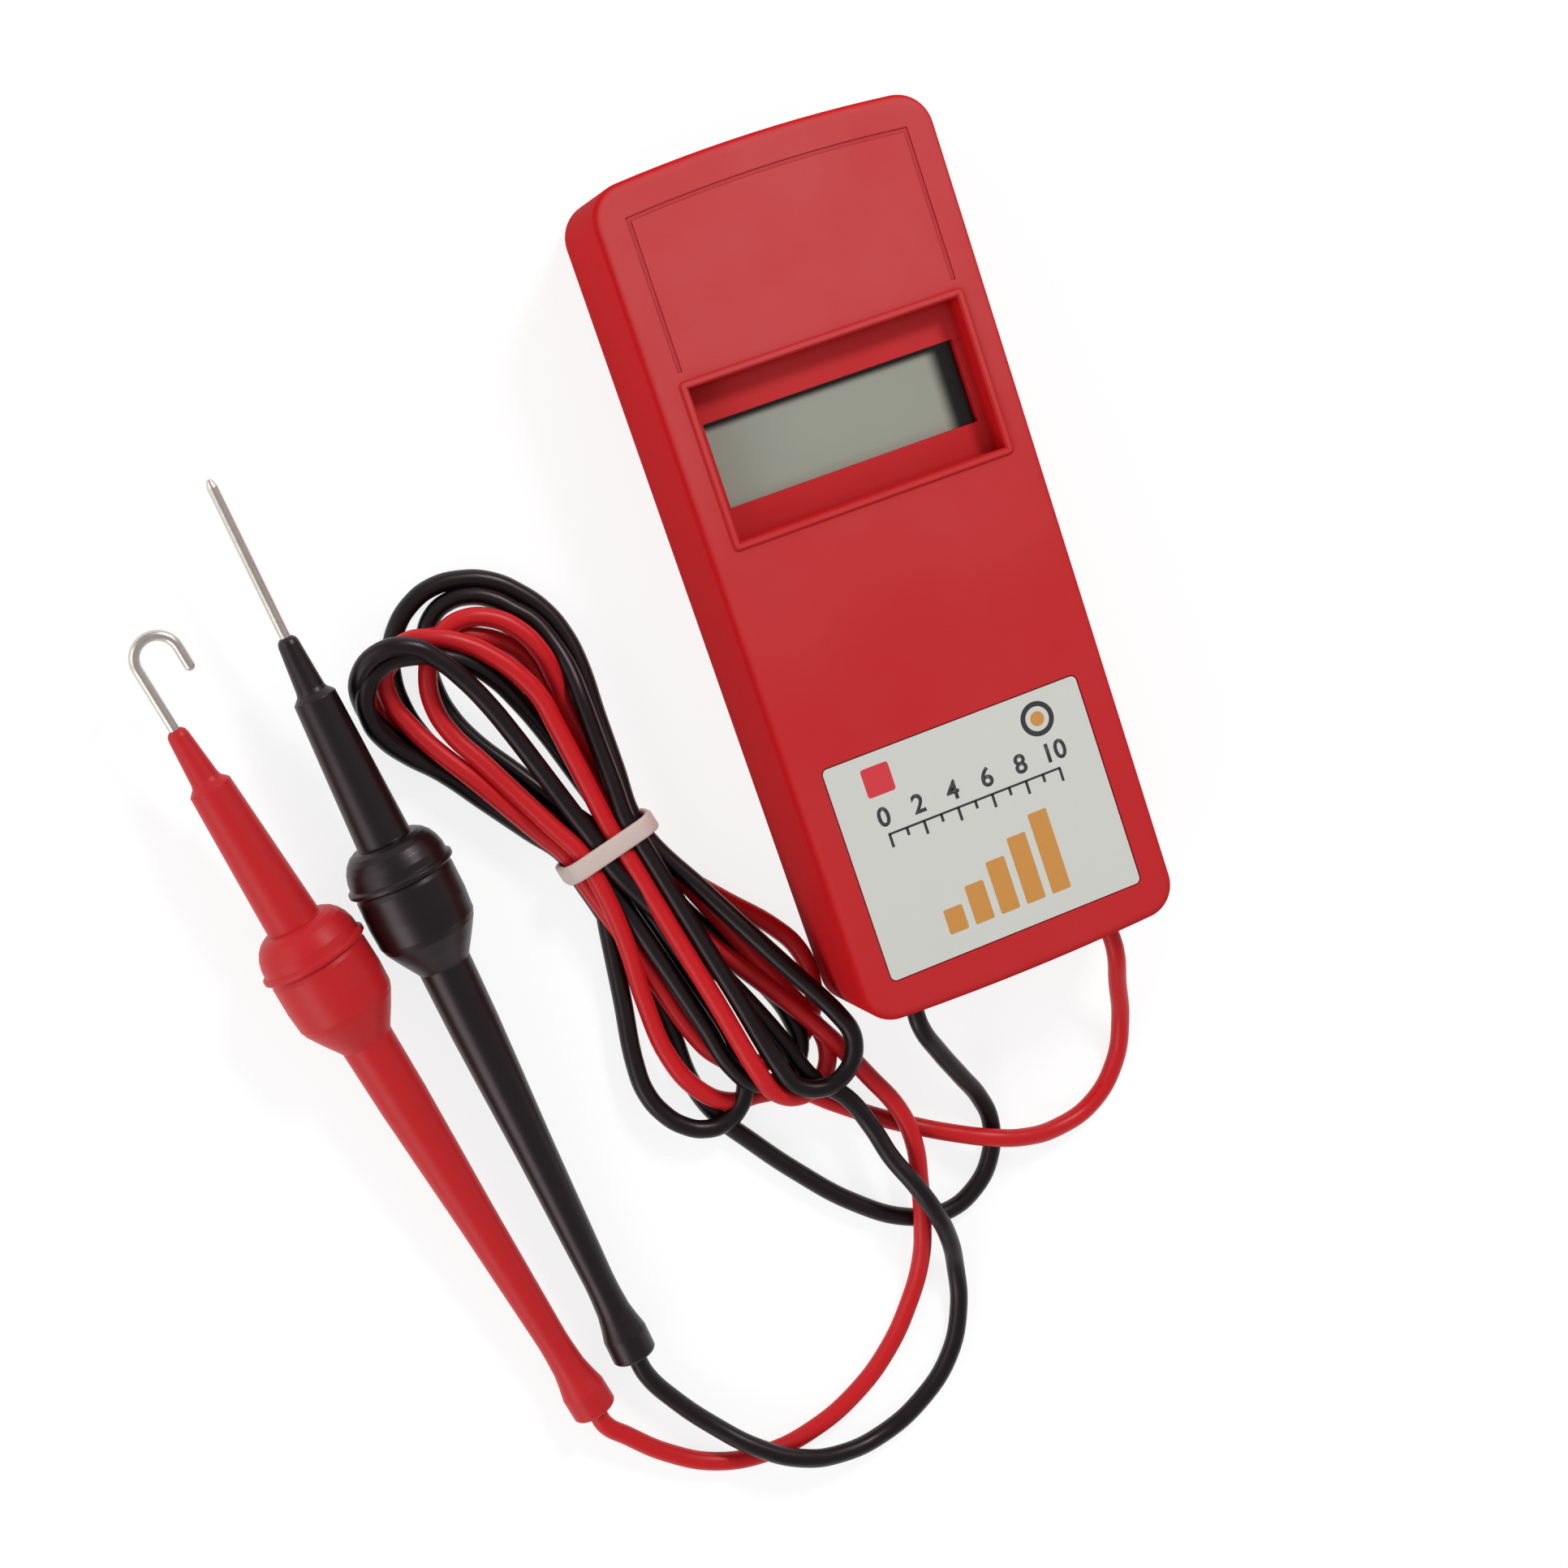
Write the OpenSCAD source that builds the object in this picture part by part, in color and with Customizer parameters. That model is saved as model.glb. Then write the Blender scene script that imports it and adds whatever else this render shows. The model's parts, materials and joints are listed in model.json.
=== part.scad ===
// Handheld digital fence voltmeter with two hard-wired insulated probes.
// Millimetres. Origin: centre of the case's footprint. +Y: display end. +Z: out of the face.

/* [Case] */
// Overall length of the case
case_length = 152; // [142:1:184]
// Width across the display end
case_width = 62.4; // [61:0.2:75]
// How much narrower the lead end is
case_taper = 1.5; // [0:0.1:3]
// Thickness from floor to face
case_height = 27; // [26:0.5:33]
// Wall of the front shell
wall = 2.2; // [1.8:0.1:2.7]
// Thickness of the face
face_t = 2.5; // [2:0.1:3]
// Rounding from the face into the walls
face_round = 2; // [1.2:0.1:3]
// Corner radius at the display end
top_corner = 6.5; // [6:0.5:10]
// Corner radius at the lead end
lead_corner = 6; // [5:0.5:8]
// How far each wall leans in from cover to face
draft = 0.1; // [0:0.1:0.8]

/* [Rear cover and battery door] */
// Thickness of the rear cover
cover_t = 3; // [2.8:0.1:4]
// Height of the cover's locating lip
lip_h = 2; // [1.5:0.1:3]
// Thickness of the battery door
door_t = 2; // [1.8:0.1:2.4]
// Clearance round the door and other loose pieces
play = 0.3; // [0.25:0.05:0.4]

/* [Display] */
// Width of the display recess
recess_w = 50; // [49:0.2:52]
// Height of the display recess
recess_h = 27; // [25:0.2:28]
// Depth of the display recess
recess_d = 4.5; // [3.5:0.1:5.4]
// Centre of the display recess above the case's centre
recess_y = 25.7; // [22:0.1:28]
// Width of the display window
window_w = 47; // [44:0.2:48]
// Height of the display window
window_h = 14.8; // [13:0.2:17]
// Width of the raised rim round the recess
rim_w = 1.4; // [1:0.1:1.8]
// Height of the raised rim
rim_h = 0.5; // [0.4:0.1:0.8]

/* [Face label and field] */
// Width of the face label
label_w = 48.8; // [44:0.2:50]
// Height of the face label
label_h = 39; // [34:0.2:40]
// Centre of the label below the case's centre
label_y = 48.8; // [46:0.2:50]
// Thickness of the label
label_t = 0.3; // [0.2:0.05:0.4]
// Depth of the sunk place for the label
sink = 0.4; // [0.4:0.05:0.6]
// Width of the field outlined above the display
field_w = 51.6; // [46:0.2:53]
// Width of the groove that outlines the field
groove_w = 0.8; // [0.4:0.1:1]
// Depth of that groove
groove_d = 0.2; // [0.15:0.05:0.4]

/* [Probes] */
// Length of the insulated probe, tail to nose
probe_length = 142.8; // [130:0.2:160]
// Radius of the guard's lip
lip_r = 9.6; // [9:0.1:11]
// Radius of the flared tail
tail_r = 4.05; // [3.6:0.05:4.6]
// Length of the rear handle
handle_length = 97.4; // [90:0.2:104]
// Wire radius of the needle and hook
wire_r = 0.95; // [0.8:0.05:1.1]
// Bare length of the straight needle
needle_length = 28.8; // [20:0.2:36]
// Radius of the hook's bend, to the wire's centre
hook_r = 3.8; // [3.5:0.1:5]

/* [Leads] */
// Diameter of each lead
lead_d = 3.4; // [3.2:0.1:3.6]
// Height of the lead holes above the floor
lead_z = 12; // [10:0.5:14]

/* [Hidden] */
$fn = 48;
eps = 0.01;

red = [0.74, 0.13, 0.15];
black = [0.1, 0.1, 0.1];
steel = [0.78, 0.76, 0.73];

// ---- outline of the case ----
half_top = case_width / 2;
half_lead = half_top - case_taper / 2;
top_arch_r = 290;
lead_arch_r = 480;
corner_steps = 10;
arch_steps = 12;

// One rounded end: corner, shallow arch, corner. It is offset inwards by d.
function end_points(half, arch_r, corner_r, d) =
    let (w = half - d, r = max(corner_r - d, 0.6), R = arch_r - d, tip = case_length / 2 - d)
    let (yc = tip - R, cx = w - r, cy = yc + sqrt((R - r) * (R - r) - cx * cx))
    let (a = atan2(cy - yc, cx))
    concat(
        [for (i = [0:corner_steps]) let (b = a * i / corner_steps) [cx + r * cos(b), cy + r * sin(b)]],
        [for (i = [1:arch_steps - 1]) let (b = a + (180 - 2 * a) * i / arch_steps) [R * cos(b), yc + R * sin(b)]],
        [for (i = [corner_steps:-1:0]) let (b = a * i / corner_steps) [-cx - r * cos(b), cy + r * sin(b)]]
    );
function outline(d) = concat(
    end_points(half_top, top_arch_r, top_corner, d),
    [for (p = end_points(half_lead, lead_arch_r, lead_corner, d)) [-p[0], -p[1]]]
);
module slab(z, t, d) translate([0, 0, z]) linear_extrude(t) polygon(outline(d));
// Solid through the outline at each level; a level is [height, inward offset]
module loft(levels) {
    n = len(outline(0));
    top = len(levels) - 1;
    polyhedron(
        points = [for (v = levels, p = outline(v[1])) [p[0], p[1], v[0]]],
        faces = concat(
            [[for (k = [0:n - 1]) k]],
            [for (i = [0:top - 1], k = [0:n - 1])
                [i * n + k, (i + 1) * n + k, (i + 1) * n + (k + 1) % n, i * n + (k + 1) % n]],
            [[for (k = [n - 1:-1:0]) top * n + k]]
        )
    );
}
// Half width of the case's outside at a place along its length
function half_at(y) = half_lead + (half_top - half_lead) * (y / case_length + 0.5);

// ---- levels ----
face_z = case_height;
ceiling_z = face_z - face_t;
ledge_z = face_z - recess_d;
ledge_t = 1.6;
ledge_slope = 8;
recess_wall = 1.4;
rim_bevel = 0.35;
rim_corner = 1;
window_low = 0.5;
rib_t = 1.2;
glass_z = ledge_z - ledge_t - 0.1;
glass_t = 2.8;
glass_w = 50.8;
glass_l = 30.4;
glass_lip = 2.2;
board_t = 1.6;
board_z = cover_t + 9;
board_top = board_z + board_t;

// ---- battery bay, on the rear cover ----
battery_w = 26.5;
battery_l = 46.4;
battery_h = 17.5;
bay_wall = 1.5;
bay_w = battery_w + 1;
bay_l = battery_l + 6.6;
bay_end = -case_length / 2 + 5.5;
bay_top = bay_end + bay_l;
bay_y = bay_end + bay_l / 2;
bay_h = cover_t + 17;
door_over = 1.2;
door_gap = 0.2;
door_w = bay_w + 2 * door_over;
door_end = bay_end - door_over;
hinge_y = bay_top + door_over - door_t / 2;
hinge_z = door_gap + door_t / 2;
pad_t = 1;
battery_z = door_gap + door_t + pad_t + 0.2;
battery_end = bay_end + 2;
hook_w = 6;
hook_x = 8;

// ---- fasteners ----
board_w = 55;
board_low = bay_top + bay_wall + 1.5;
board_high = case_length / 2 - 17;
board_screw_x = board_w / 2 - 4;
board_screw_y = [board_low + 4.5, board_high - 5];
cover_screw_at = [
    for (s = [-1, 1]) [s * 23, case_length / 2 - 10],
    for (s = [-1, 1]) [s * 24, -case_length / 2 + 42]
];
cover_screw_r = 1.45;
board_screw_r = 1.25;
cover_boss_r = 3.4;
board_boss_r = 3;
thread_gap = 0.04;

// ---- switch ----
switch_y = 1;
switch_z = board_z - 1.9;
switch_travel = 3.6;
knob_l = 3.6;
knob_h = 2.6;
slider_l = 6;
switch_l = slider_l + switch_travel + 2.8;
switch_x = board_w / 2 - 5.5;
slot_l = knob_l + switch_travel + 2 * play;
scoop_r = 9.4;
scoop_d = 0.8;

// ---- leads ----
lead_r = lead_d / 2;
grommet_r = 3.4;
grommet_proud = 1.5;
exit_y = -case_length / 2 - grommet_proud;
black_exit_x = -18.5;
red_exit_x = 21;

// Each route's points are chosen by hand. Their z is the height of the lead's centre.
black_case_route = [
    [black_exit_x, exit_y, lead_z], [black_exit_x, -81.5, lead_z], [-16, -88, 9], [-12.6, -95, 5.4],
    [-9.8, -101, 2.6], [-9, -106, 1.7], [-11, -112, 1.7], [-16, -117, 1.7], [-23, -119, 1.7],
    [-30, -117, 1.7], [-38.5, -110.5, 1.7], [-47, -100.5, 1.7], [-53, -92, 1.7], [-56.5, -86.5, 1.7]
];
red_case_route = [
    [red_exit_x, exit_y, lead_z], [red_exit_x, -82, lead_z], [20.7, -89, 8.4], [20.4, -97, 4.2],
    [17.4, -105, 1.9], [11, -110.5, 1.7], [2.5, -112, 3], [-5, -110.5, 5], [-11, -108, 5.4],
    [-17, -105, 3.8], [-23, -101.5, 1.9], [-30, -96.5, 1.7], [-36, -91.5, 1.7], [-42, -86.5, 1.7]
];
black_probe_route = [
    [-39.5, -84, 7.2], [-34.5, -90, 6.6], [-31.8, -97, 6.2], [-30.4, -103.5, 7.6],
    [-28.2, -109.5, 9], [-26.2, -116, 8.8], [-24.8, -122.5, 6.2], [-24.6, -129, 3],
    [-26.2, -137, 1.7], [-31, -145, 1.7], [-39, -150.8, 1.7], [-48, -153.8, 1.7],
    [-56.5, -153.3, 3.4], [-64, -150.3, 5.2], [-71, -145, 5.2], [-77, -138.3, 3.6],
    [-82, -131, 3.2], [-85.2, -124.5, 3.7], [-86, -120, 4.05]
];
red_probe_route = [
    [-33, -80, 6.4], [-29, -88.5, 5.6], [-25.8, -96, 5.4], [-25, -103, 5.4],
    [-26.4, -110.5, 5.4], [-28.4, -118, 5.4], [-30.6, -125.5, 3], [-35, -132.5, 1.7],
    [-41.5, -139, 1.7], [-50, -144.3, 1.7], [-59.5, -147.4, 1.7], [-69, -148, 1.7],
    [-78.5, -145.6, 1.7], [-86.5, -140, 2.2], [-92.3, -133.6, 3.2], [-95.2, -130, 3.8],
    [-96, -126.5, 4.05]
];

// ---- the hank of spare lead, in its own frame: v along it, u across ----
hank_at = [-60.3, -31.6];
hank_turn = 13.4;
hank_h = 13.6;
waist_r = 8.4;
waist_low = 1.3;
waist_high = 9.9;
waist_corner = 2.4;
tie_w = 3.6;
tie_t = 1.2;
far_ends = [[-13, 44, 10.4], [5, 42, 12.4]];
near_ends = [[-9, -44, 10.4], [8.5, -48, 10.5]];

// ---- probes ----
black_tail = [-86, -120];
black_turn = 95.9;
red_tail = [-96, -126.5];
red_turn = 100.9;
nose_r = 1.85;
nose_step = 10.8;
lip_t = 1.4;
probe_tilt = atan((lip_r - tail_r) / (handle_length + lip_t / 2));
tail_z = tail_r * cos(probe_tilt);
needle_root = 12;
spigot_r = 5.2;
spigot_l = 8;

// ======================= case =======================

module face_block() loft(concat(
    [[cover_t, 0]],
    [for (a = [0:18:90]) [face_z - face_round * (1 - sin(a)), draft + face_round * (1 - cos(a))]]
));
module cavity() loft([[cover_t - 1, wall], [ceiling_z, wall + draft]]);
module centred(w, l, z0, z1, y = 0, x = 0)
    translate([x - w / 2, y - l / 2, z0]) cube([w, l, z1 - z0]);
// Rounded rectangle with true arcs
module round_rect(w, l, r) {
    square([w - 2 * r, l], center = true);
    square([w, l - 2 * r], center = true);
    for (x = [-1, 1], y = [-1, 1]) translate([x * (w / 2 - r), y * (l / 2 - r)]) circle(r);
}
module round_plate(w, l, r, z0, z1, y = 0, x = 0)
    translate([x, y, z0]) linear_extrude(z1 - z0) round_rect(w, l, r);

// Field above the display: its top edge is arched like the case's. A groove outlines its top and
// sides. The inner block reaches lower than the outer one, which leaves the bottom open.
field_top = case_length / 2 - 6;
field_low = recess_y + recess_h / 2 + rim_w + 1.5;
module field_block(inset, z0, z1) intersection() {
    centred(field_w - 2 * inset, 80, z0, z1, field_low - inset + 40);
    translate([0, field_top - top_arch_r - inset, z0]) cylinder(h = z1 - z0, r = top_arch_r, $fn = 240);
}
module field_groove() difference() {
    field_block(0, face_z - groove_d, face_z + 1);
    field_block(groove_w, face_z - groove_d - 1, face_z + 2);
}
// Bead round the display recess, bevelled on its outer and inner edges
module rim_bead() hull() {
    round_plate(recess_w + 2 * rim_w, recess_h + 2 * rim_w, rim_corner,
        face_z - 1, face_z + rim_h - rim_bevel, recess_y);
    round_plate(recess_w + 2 * (rim_w - rim_bevel), recess_h + 2 * (rim_w - rim_bevel), rim_corner - rim_bevel,
        face_z - 1, face_z + rim_h, recess_y);
}
module recess_cut() {
    centred(recess_w, recess_h, ledge_z, face_z + 2, recess_y);
    hull() {
        centred(recess_w, recess_h, face_z + rim_h - rim_bevel, face_z + 2, recess_y);
        centred(recess_w + 2 * rim_bevel, recess_h + 2 * rim_bevel, face_z + rim_h, face_z + 2, recess_y);
    }
}
module front_shell() color(red) difference() {
    union() {
        difference() {
            face_block();
            cavity();
        }
        // raised rim round the display recess, and the recess's own walls and floor
        rim_bead();
        centred(recess_w + 2 * recess_wall, recess_h + 2 * recess_wall, ledge_z - ledge_t, face_z - 0.8,
            recess_y);
        // bosses for the cover and board screws
        for (p = cover_screw_at)
            translate([p[0], p[1], cover_t]) cylinder(h = ceiling_z - cover_t + 1, r = cover_boss_r);
        for (x = [-1, 1], y = board_screw_y)
            translate([x * board_screw_x, y, board_top])
                cylinder(h = ceiling_z - board_top + 1, r = board_boss_r);
        // stiffening ribs between the cover bosses and the walls
        for (p = cover_screw_at) {
            side = sign(p[0]);
            reach = half_at(p[1]) - draft - wall / 2 - abs(p[0]);
            translate([p[0] + side * reach / 2, p[1], 0])
                centred(reach, rib_t, cover_t + lip_h + 0.4, ceiling_z + 1);
        }
        // ribs across the face under the label
        for (y = [-label_y - 12, -label_y + 12])
            centred(bay_w - 4, rib_t, battery_z + battery_h + 0.8, ceiling_z + 1, y);
    }
    // display recess and window, the upper and lower floors sloping to the window
    recess_cut();
    centred(window_w, window_h, ledge_z - ledge_t - 1, face_z, recess_y - window_low);
    for (s = [-1, 1]) translate([0, recess_y - window_low + s * window_h / 2, ledge_z])
        rotate([s * ledge_slope, 0, 0]) centred(recess_w, 7.4, 0, 2, s * 3.2);
    // sunk place for the label, and the field's groove
    round_plate(label_w + 0.4, label_h + 0.4, 1.2, face_z - sink, face_z + 1, -label_y);
    field_groove();
    // pilot holes
    for (p = cover_screw_at)
        translate([p[0], p[1], cover_t - 1]) cylinder(h = 12, r = cover_screw_r + thread_gap);
    for (x = [-1, 1], y = board_screw_y)
        translate([x * board_screw_x, y, board_top - 1]) cylinder(h = 8, r = board_screw_r + thread_gap);
    // lead holes in the end wall
    for (x = [black_exit_x, red_exit_x])
        translate([x, -case_length / 2 - 1, lead_z]) rotate([-90, 0, 0])
            cylinder(h = wall + 4, r = grommet_r - 0.9);
    // slot and finger scoop for the switch's knob
    translate([half_at(switch_y), switch_y, switch_z]) {
        centred(12, slot_l, -knob_h / 2 - play, knob_h / 2 + play);
        translate([scoop_r - scoop_d, 0, 0]) rotate([90, 0, 0]) translate([0, 0, -slot_l / 2 - 1.5])
            cylinder(h = slot_l + 3, r = scoop_r);
    }
}

module rear_cover() color(red) difference() {
    union() {
        loft([[0, 0.8], [0.25, 0.25], [0.8, 0], [cover_t, 0]]);
        // locating lip inside the shell's wall
        difference() {
            slab(cover_t - eps, lip_h, wall + 0.15);
            slab(cover_t - 1, lip_h + 2, wall + 1.35);
            for (p = cover_screw_at) translate([p[0], p[1], cover_t - 1]) centred(16, 8.6, 0, lip_h + 2);
        }
        // battery bay
        centred(bay_w + 2 * bay_wall, bay_l + 2 * bay_wall, cover_t - eps, bay_h, bay_y);
        // pads round the door's rebate, and ribs that stiffen the cover
        for (y = [bay_top + 12:14:case_length / 2 - 22]) centred(44, rib_t, cover_t - eps, cover_t + 1.6, y);
        for (x = [-22, 22]) centred(rib_t, case_length / 2 - 22 - bay_top - 10, cover_t - eps, cover_t + 1.6,
            (case_length / 2 - 12 + bay_top) / 2, x);
    }
    centred(bay_w, bay_l, -1, bay_h + 1, bay_y);
    centred(door_w + 2 * play, bay_l + 2 * door_over + 2 * play, -1, door_gap + door_t + 0.1, bay_y);
    // slots that the door's hooks turn in
    for (x = [-hook_x, hook_x]) centred(hook_w + 0.6, 3, cover_t, cover_t + 2.4, bay_top + bay_wall / 2, x);
    // way out for the battery wires
    centred(5, 4, bay_h - 5, bay_h + 1, bay_top + bay_wall / 2, -bay_w / 2 + 4);
    // screw holes, counterbored from outside
    for (p = cover_screw_at) translate([p[0], p[1], 0]) {
        translate([0, 0, -1]) cylinder(h = cover_t + 4, r = cover_screw_r + 0.2);
        translate([0, 0, -1]) cylinder(h = 2.7, r = 3.2);
    }
}

module battery_door() color(red) difference() {
    union() {
        translate([-door_w / 2, door_end, door_gap]) cube([door_w, hinge_y - door_end, door_t]);
        translate([-door_w / 2, hinge_y, hinge_z]) rotate([0, 90, 0]) cylinder(h = door_w, r = door_t / 2);
        // hooks that reach over the cover's ledge
        for (x = [-hook_x, hook_x]) translate([x, hinge_y, 0]) {
            centred(hook_w, 1.5, door_gap + door_t - eps, cover_t + 1.1, -1.25);
            centred(hook_w, 4.1, cover_t + 0.2, cover_t + 1.1, 0.05);
        }
        // latch tongue behind the bay's end wall
        centred(12, 1.2, door_gap + door_t - eps, cover_t + 3.5, bay_end + 1.1);
    }
    // thumb hollow with its grip ridges
    difference() {
        translate([0, door_end + 11, door_gap - 15.2]) sphere(r = 16.4, $fn = 64);
        for (i = [-2:2]) centred(13, 0.7, -2, door_gap + 3, door_end + 11 + i * 2);
    }
}
module door_pad() color([0.2, 0.2, 0.22])
    centred(16, 24, door_gap + door_t, door_gap + door_t + pad_t, bay_y);

module battery() {
    mid_z = battery_z + battery_h / 2;
    color([0.2, 0.22, 0.26]) translate([0, battery_end, mid_z]) rotate([-90, 0, 0])
        linear_extrude(battery_l) round_rect(battery_w, battery_h, 2);
    color(steel) for (x = [-6.35, 6.35]) translate([x, battery_end + battery_l, mid_z]) rotate([-90, 0, 0])
        difference() {
            cylinder(h = 1.9, r = x < 0 ? 2.9 : 4);
            if (x > 0) translate([0, 0, 0.5]) cylinder(h = 3, r = 2.9);
        }
}
module battery_snap() color(black) {
    y0 = battery_end + battery_l + 2;
    z0 = battery_z + battery_h / 2;
    translate([0, y0, z0]) rotate([-90, 0, 0]) linear_extrude(2) round_rect(24, 12, 4);
    // two wires up and over the bay's end wall to the board
    for (i = [0, 1]) translate([-bay_w / 2 + 3.2 + i * 1.6, y0 + 1, z0]) {
        cylinder(h = bay_h - z0 - 1.5, r = 0.55);
        translate([0, 0, bay_h - z0 - 2.05]) rotate([-90, 0, 0]) cylinder(h = board_low - y0 + 2, r = 0.55);
        translate([0, board_low - y0 + 2, board_top - z0]) cylinder(h = bay_h - board_top - 1.5, r = 0.55);
    }
}

// ======================= display and board =======================

module display_glass() color([0.57, 0.59, 0.54]) {
    centred(glass_w, glass_l, glass_z - glass_t, glass_z - glass_t / 2, recess_y - window_low);
    centred(glass_w, glass_l - 2 * glass_lip, glass_z - glass_t / 2 - eps, glass_z, recess_y - window_low);
}
frame_w = 54;
frame_l = 33.4;
strip_w = 2.2;
module display_frame() color(black) difference() {
    round_plate(frame_w, frame_l, 1.5, board_top, glass_z, recess_y - window_low);
    centred(glass_w + 0.4, glass_l + 0.4, glass_z - glass_t, glass_z + 1, recess_y - window_low);
    centred(glass_w - 2.4, glass_l - 2.8, board_top - 1, glass_z, recess_y - window_low);
    for (x = [-1, 1]) translate([x * board_screw_x, board_screw_y[1], board_top - 1])
        cylinder(h = 12, r = board_boss_r + play);
}
module contact_strips() color([0.85, 0.55, 0.6])
    for (s = [-1, 1])
        centred(glass_w - 3.2, strip_w, board_top, glass_z - glass_t,
            recess_y - window_low + s * (glass_l / 2 - 2.7));

module main_board() color([0.12, 0.36, 0.2]) difference() {
    centred(board_w, board_high - board_low, board_z, board_top, (board_high + board_low) / 2);
    for (x = [-1, 1], y = board_screw_y)
        translate([x * board_screw_x, y, board_z - 1]) cylinder(h = board_t + 2, r = board_screw_r + 0.25);
}
driver_pins = 20;
pin_pitch = 2.54;
module display_driver() color(black) {
    y0 = board_low + 6;
    body_l = driver_pins * pin_pitch + 1.4;
    centred(13.6, body_l, board_z - 4.3, board_z - 0.5, y0 + body_l / 2, -6);
    for (s = [-1, 1], i = [0:driver_pins - 1])
        centred(0.4, 0.6, board_z - 2.6, board_z, y0 + 1.97 + i * pin_pitch, -6 + s * 7);
}
module axial(x, y, r, l) translate([x, y, board_z - r - 0.3]) {
    rotate([90, 0, 0]) cylinder(h = l, r = r, center = true);
    rotate([90, 0, 0]) cylinder(h = l + 5, r = 0.35, center = true);
    for (s = [-1, 1]) translate([0, s * (l / 2 + 2.15), 0]) cylinder(h = r + 0.3, r = 0.35);
}
module divider_resistors() color([0.55, 0.65, 0.75]) {
    for (i = [0:3]) axial(7 + i * 3.6, board_high - 16, 1.2, 6.5);
    for (i = [0:1]) axial(8 + i * 5.4, board_low + 14, 2.2, 12);
}
module capacitors() {
    color([0.75, 0.25, 0.15]) for (i = [0:2])
        centred(7.5, 3, board_z - 6.5, board_z, board_low + 29 + i * 5, 11);
    color([0.15, 0.2, 0.4]) translate([11, board_low + 46, board_z - 7]) cylinder(h = 7, r = 3.2);
}
trimmer_at = [-20, 6];
trimmer_h = 4.8;
rotor_r = 2.2;
module trimmer() color([0.15, 0.3, 0.65]) translate([trimmer_at[0], trimmer_at[1], board_z - trimmer_h])
    difference() {
        centred(6.8, 6.8, 0, trimmer_h);
        translate([0, 0, -1]) cylinder(h = 2.3, r = rotor_r + 0.08);
    }
module trimmer_rotor() color([0.9, 0.9, 0.88]) translate([trimmer_at[0], trimmer_at[1], board_z - trimmer_h])
    difference() {
        translate([0, 0, -0.4]) cylinder(h = 1.6, r = rotor_r);
        centred(3.2, 0.6, -1, 0.4);
        centred(0.6, 3.2, -1, 0.4);
    }

module power_switch() color(steel) translate([switch_x, switch_y, switch_z]) difference() {
    translate([-0.6, 0, 0]) centred(7.2, switch_l, -2.4, 1.9);
    translate([1, 0, 0]) centred(5, slider_l + switch_travel + 0.4, -1.7, 1.5);
}
// At rest the slider is at its lead-end stop
module switch_slider() color(black) translate([0, switch_y - switch_travel / 2, switch_z]) {
    knob_end = half_at(switch_y) - 0.5;
    translate([switch_x + 0.9, 0, 0]) centred(4, slider_l, -1.5, 1.3);
    difference() {
        translate([(switch_x + knob_end) / 2, 0, 0])
            centred(knob_end - switch_x, knob_l, -knob_h / 2, knob_h / 2);
        for (i = [-1:1]) translate([knob_end, i, 0]) centred(0.8, 0.4, -2, 2);
    }
}

// ======================= labels, screws, grommets =======================

module face_label() color([0.82, 0.83, 0.8])
    round_plate(label_w, label_h, 1, face_z - sink, face_z - sink + label_t, -label_y);

module cover_screws() color(steel) for (p = cover_screw_at) translate([p[0], p[1], 0]) difference() {
    union() {
        translate([0, 0, 0.3]) cylinder(h = 1.4, r = 3);
        translate([0, 0, 1.6]) cylinder(h = 11, r = cover_screw_r);
    }
    centred(3.4, 0.7, -1, 1.1);
    centred(0.7, 3.4, -1, 1.1);
}
module board_screws() color(steel)
    for (x = [-1, 1], y = board_screw_y) translate([x * board_screw_x, y, board_z]) difference() {
        union() {
            translate([0, 0, -1.4]) cylinder(h = 1.4, r = 2.4);
            translate([0, 0, -eps]) cylinder(h = 7, r = board_screw_r);
        }
        centred(2.8, 0.6, -2, -0.8);
        centred(0.6, 2.8, -2, -0.8);
    }
// Flanged bush: its neck fills the hole in the end wall
module lead_grommets() color(black)
    for (x = [black_exit_x, red_exit_x]) translate([x, -case_length / 2, lead_z]) rotate([-90, 0, 0])
        difference() {
            rotate_extrude() polygon([
                [0, -grommet_proud], [lead_r + 1, -grommet_proud], [grommet_r, -0.6], [grommet_r, 0.15],
                [grommet_r - 1, 0.15], [grommet_r - 1, wall + draft + 0.6], [grommet_r, wall + draft + 0.6],
                [grommet_r - 0.6, wall + draft + 2.2], [0, wall + draft + 2.2]
            ]);
            translate([0, 0, -0.3]) cylinder(h = 8, r = lead_r - 0.4);
        }
// Stretches of lead inside the case, from the bushes past the bay to the board
module inner_leads() {
    y0 = -case_length / 2 + wall + draft + 2.2;
    for (side = [[black_exit_x, black], [red_exit_x, red]]) color(side[1]) {
        lane = sign(side[0]) * 18.3;
        bend_y = y0 + 4;
        translate([side[0], y0, lead_z]) rotate([-90, 0, 0]) cylinder(h = 4, r = lead_r);
        run = [lane - side[0], 10];
        translate([side[0], bend_y, lead_z]) sphere(r = lead_r);
        translate([side[0], bend_y, lead_z]) rotate([-90, 0, atan2(-run[0], run[1])])
            cylinder(h = norm(run), r = lead_r);
        translate([lane, bend_y + run[1], lead_z]) sphere(r = lead_r);
        translate([lane, bend_y + run[1], lead_z]) rotate([-90, 0, 0])
            cylinder(h = board_low - 0.3 - bend_y - run[1], r = lead_r);
    }
}

// ======================= probes =======================

// Lays a probe on the floor: it rests on its guard's lip and on its flared tail
module lay_probe(tail, turn)
    translate([tail[0], tail[1], tail_z]) rotate([0, 0, turn]) rotate([0, 90 - probe_tilt, 0]) children();

guard_end = handle_length + lip_t;
dome_l = 5.8;
barrel_r = 4.85;
resistor_from = handle_length - 34;
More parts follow.
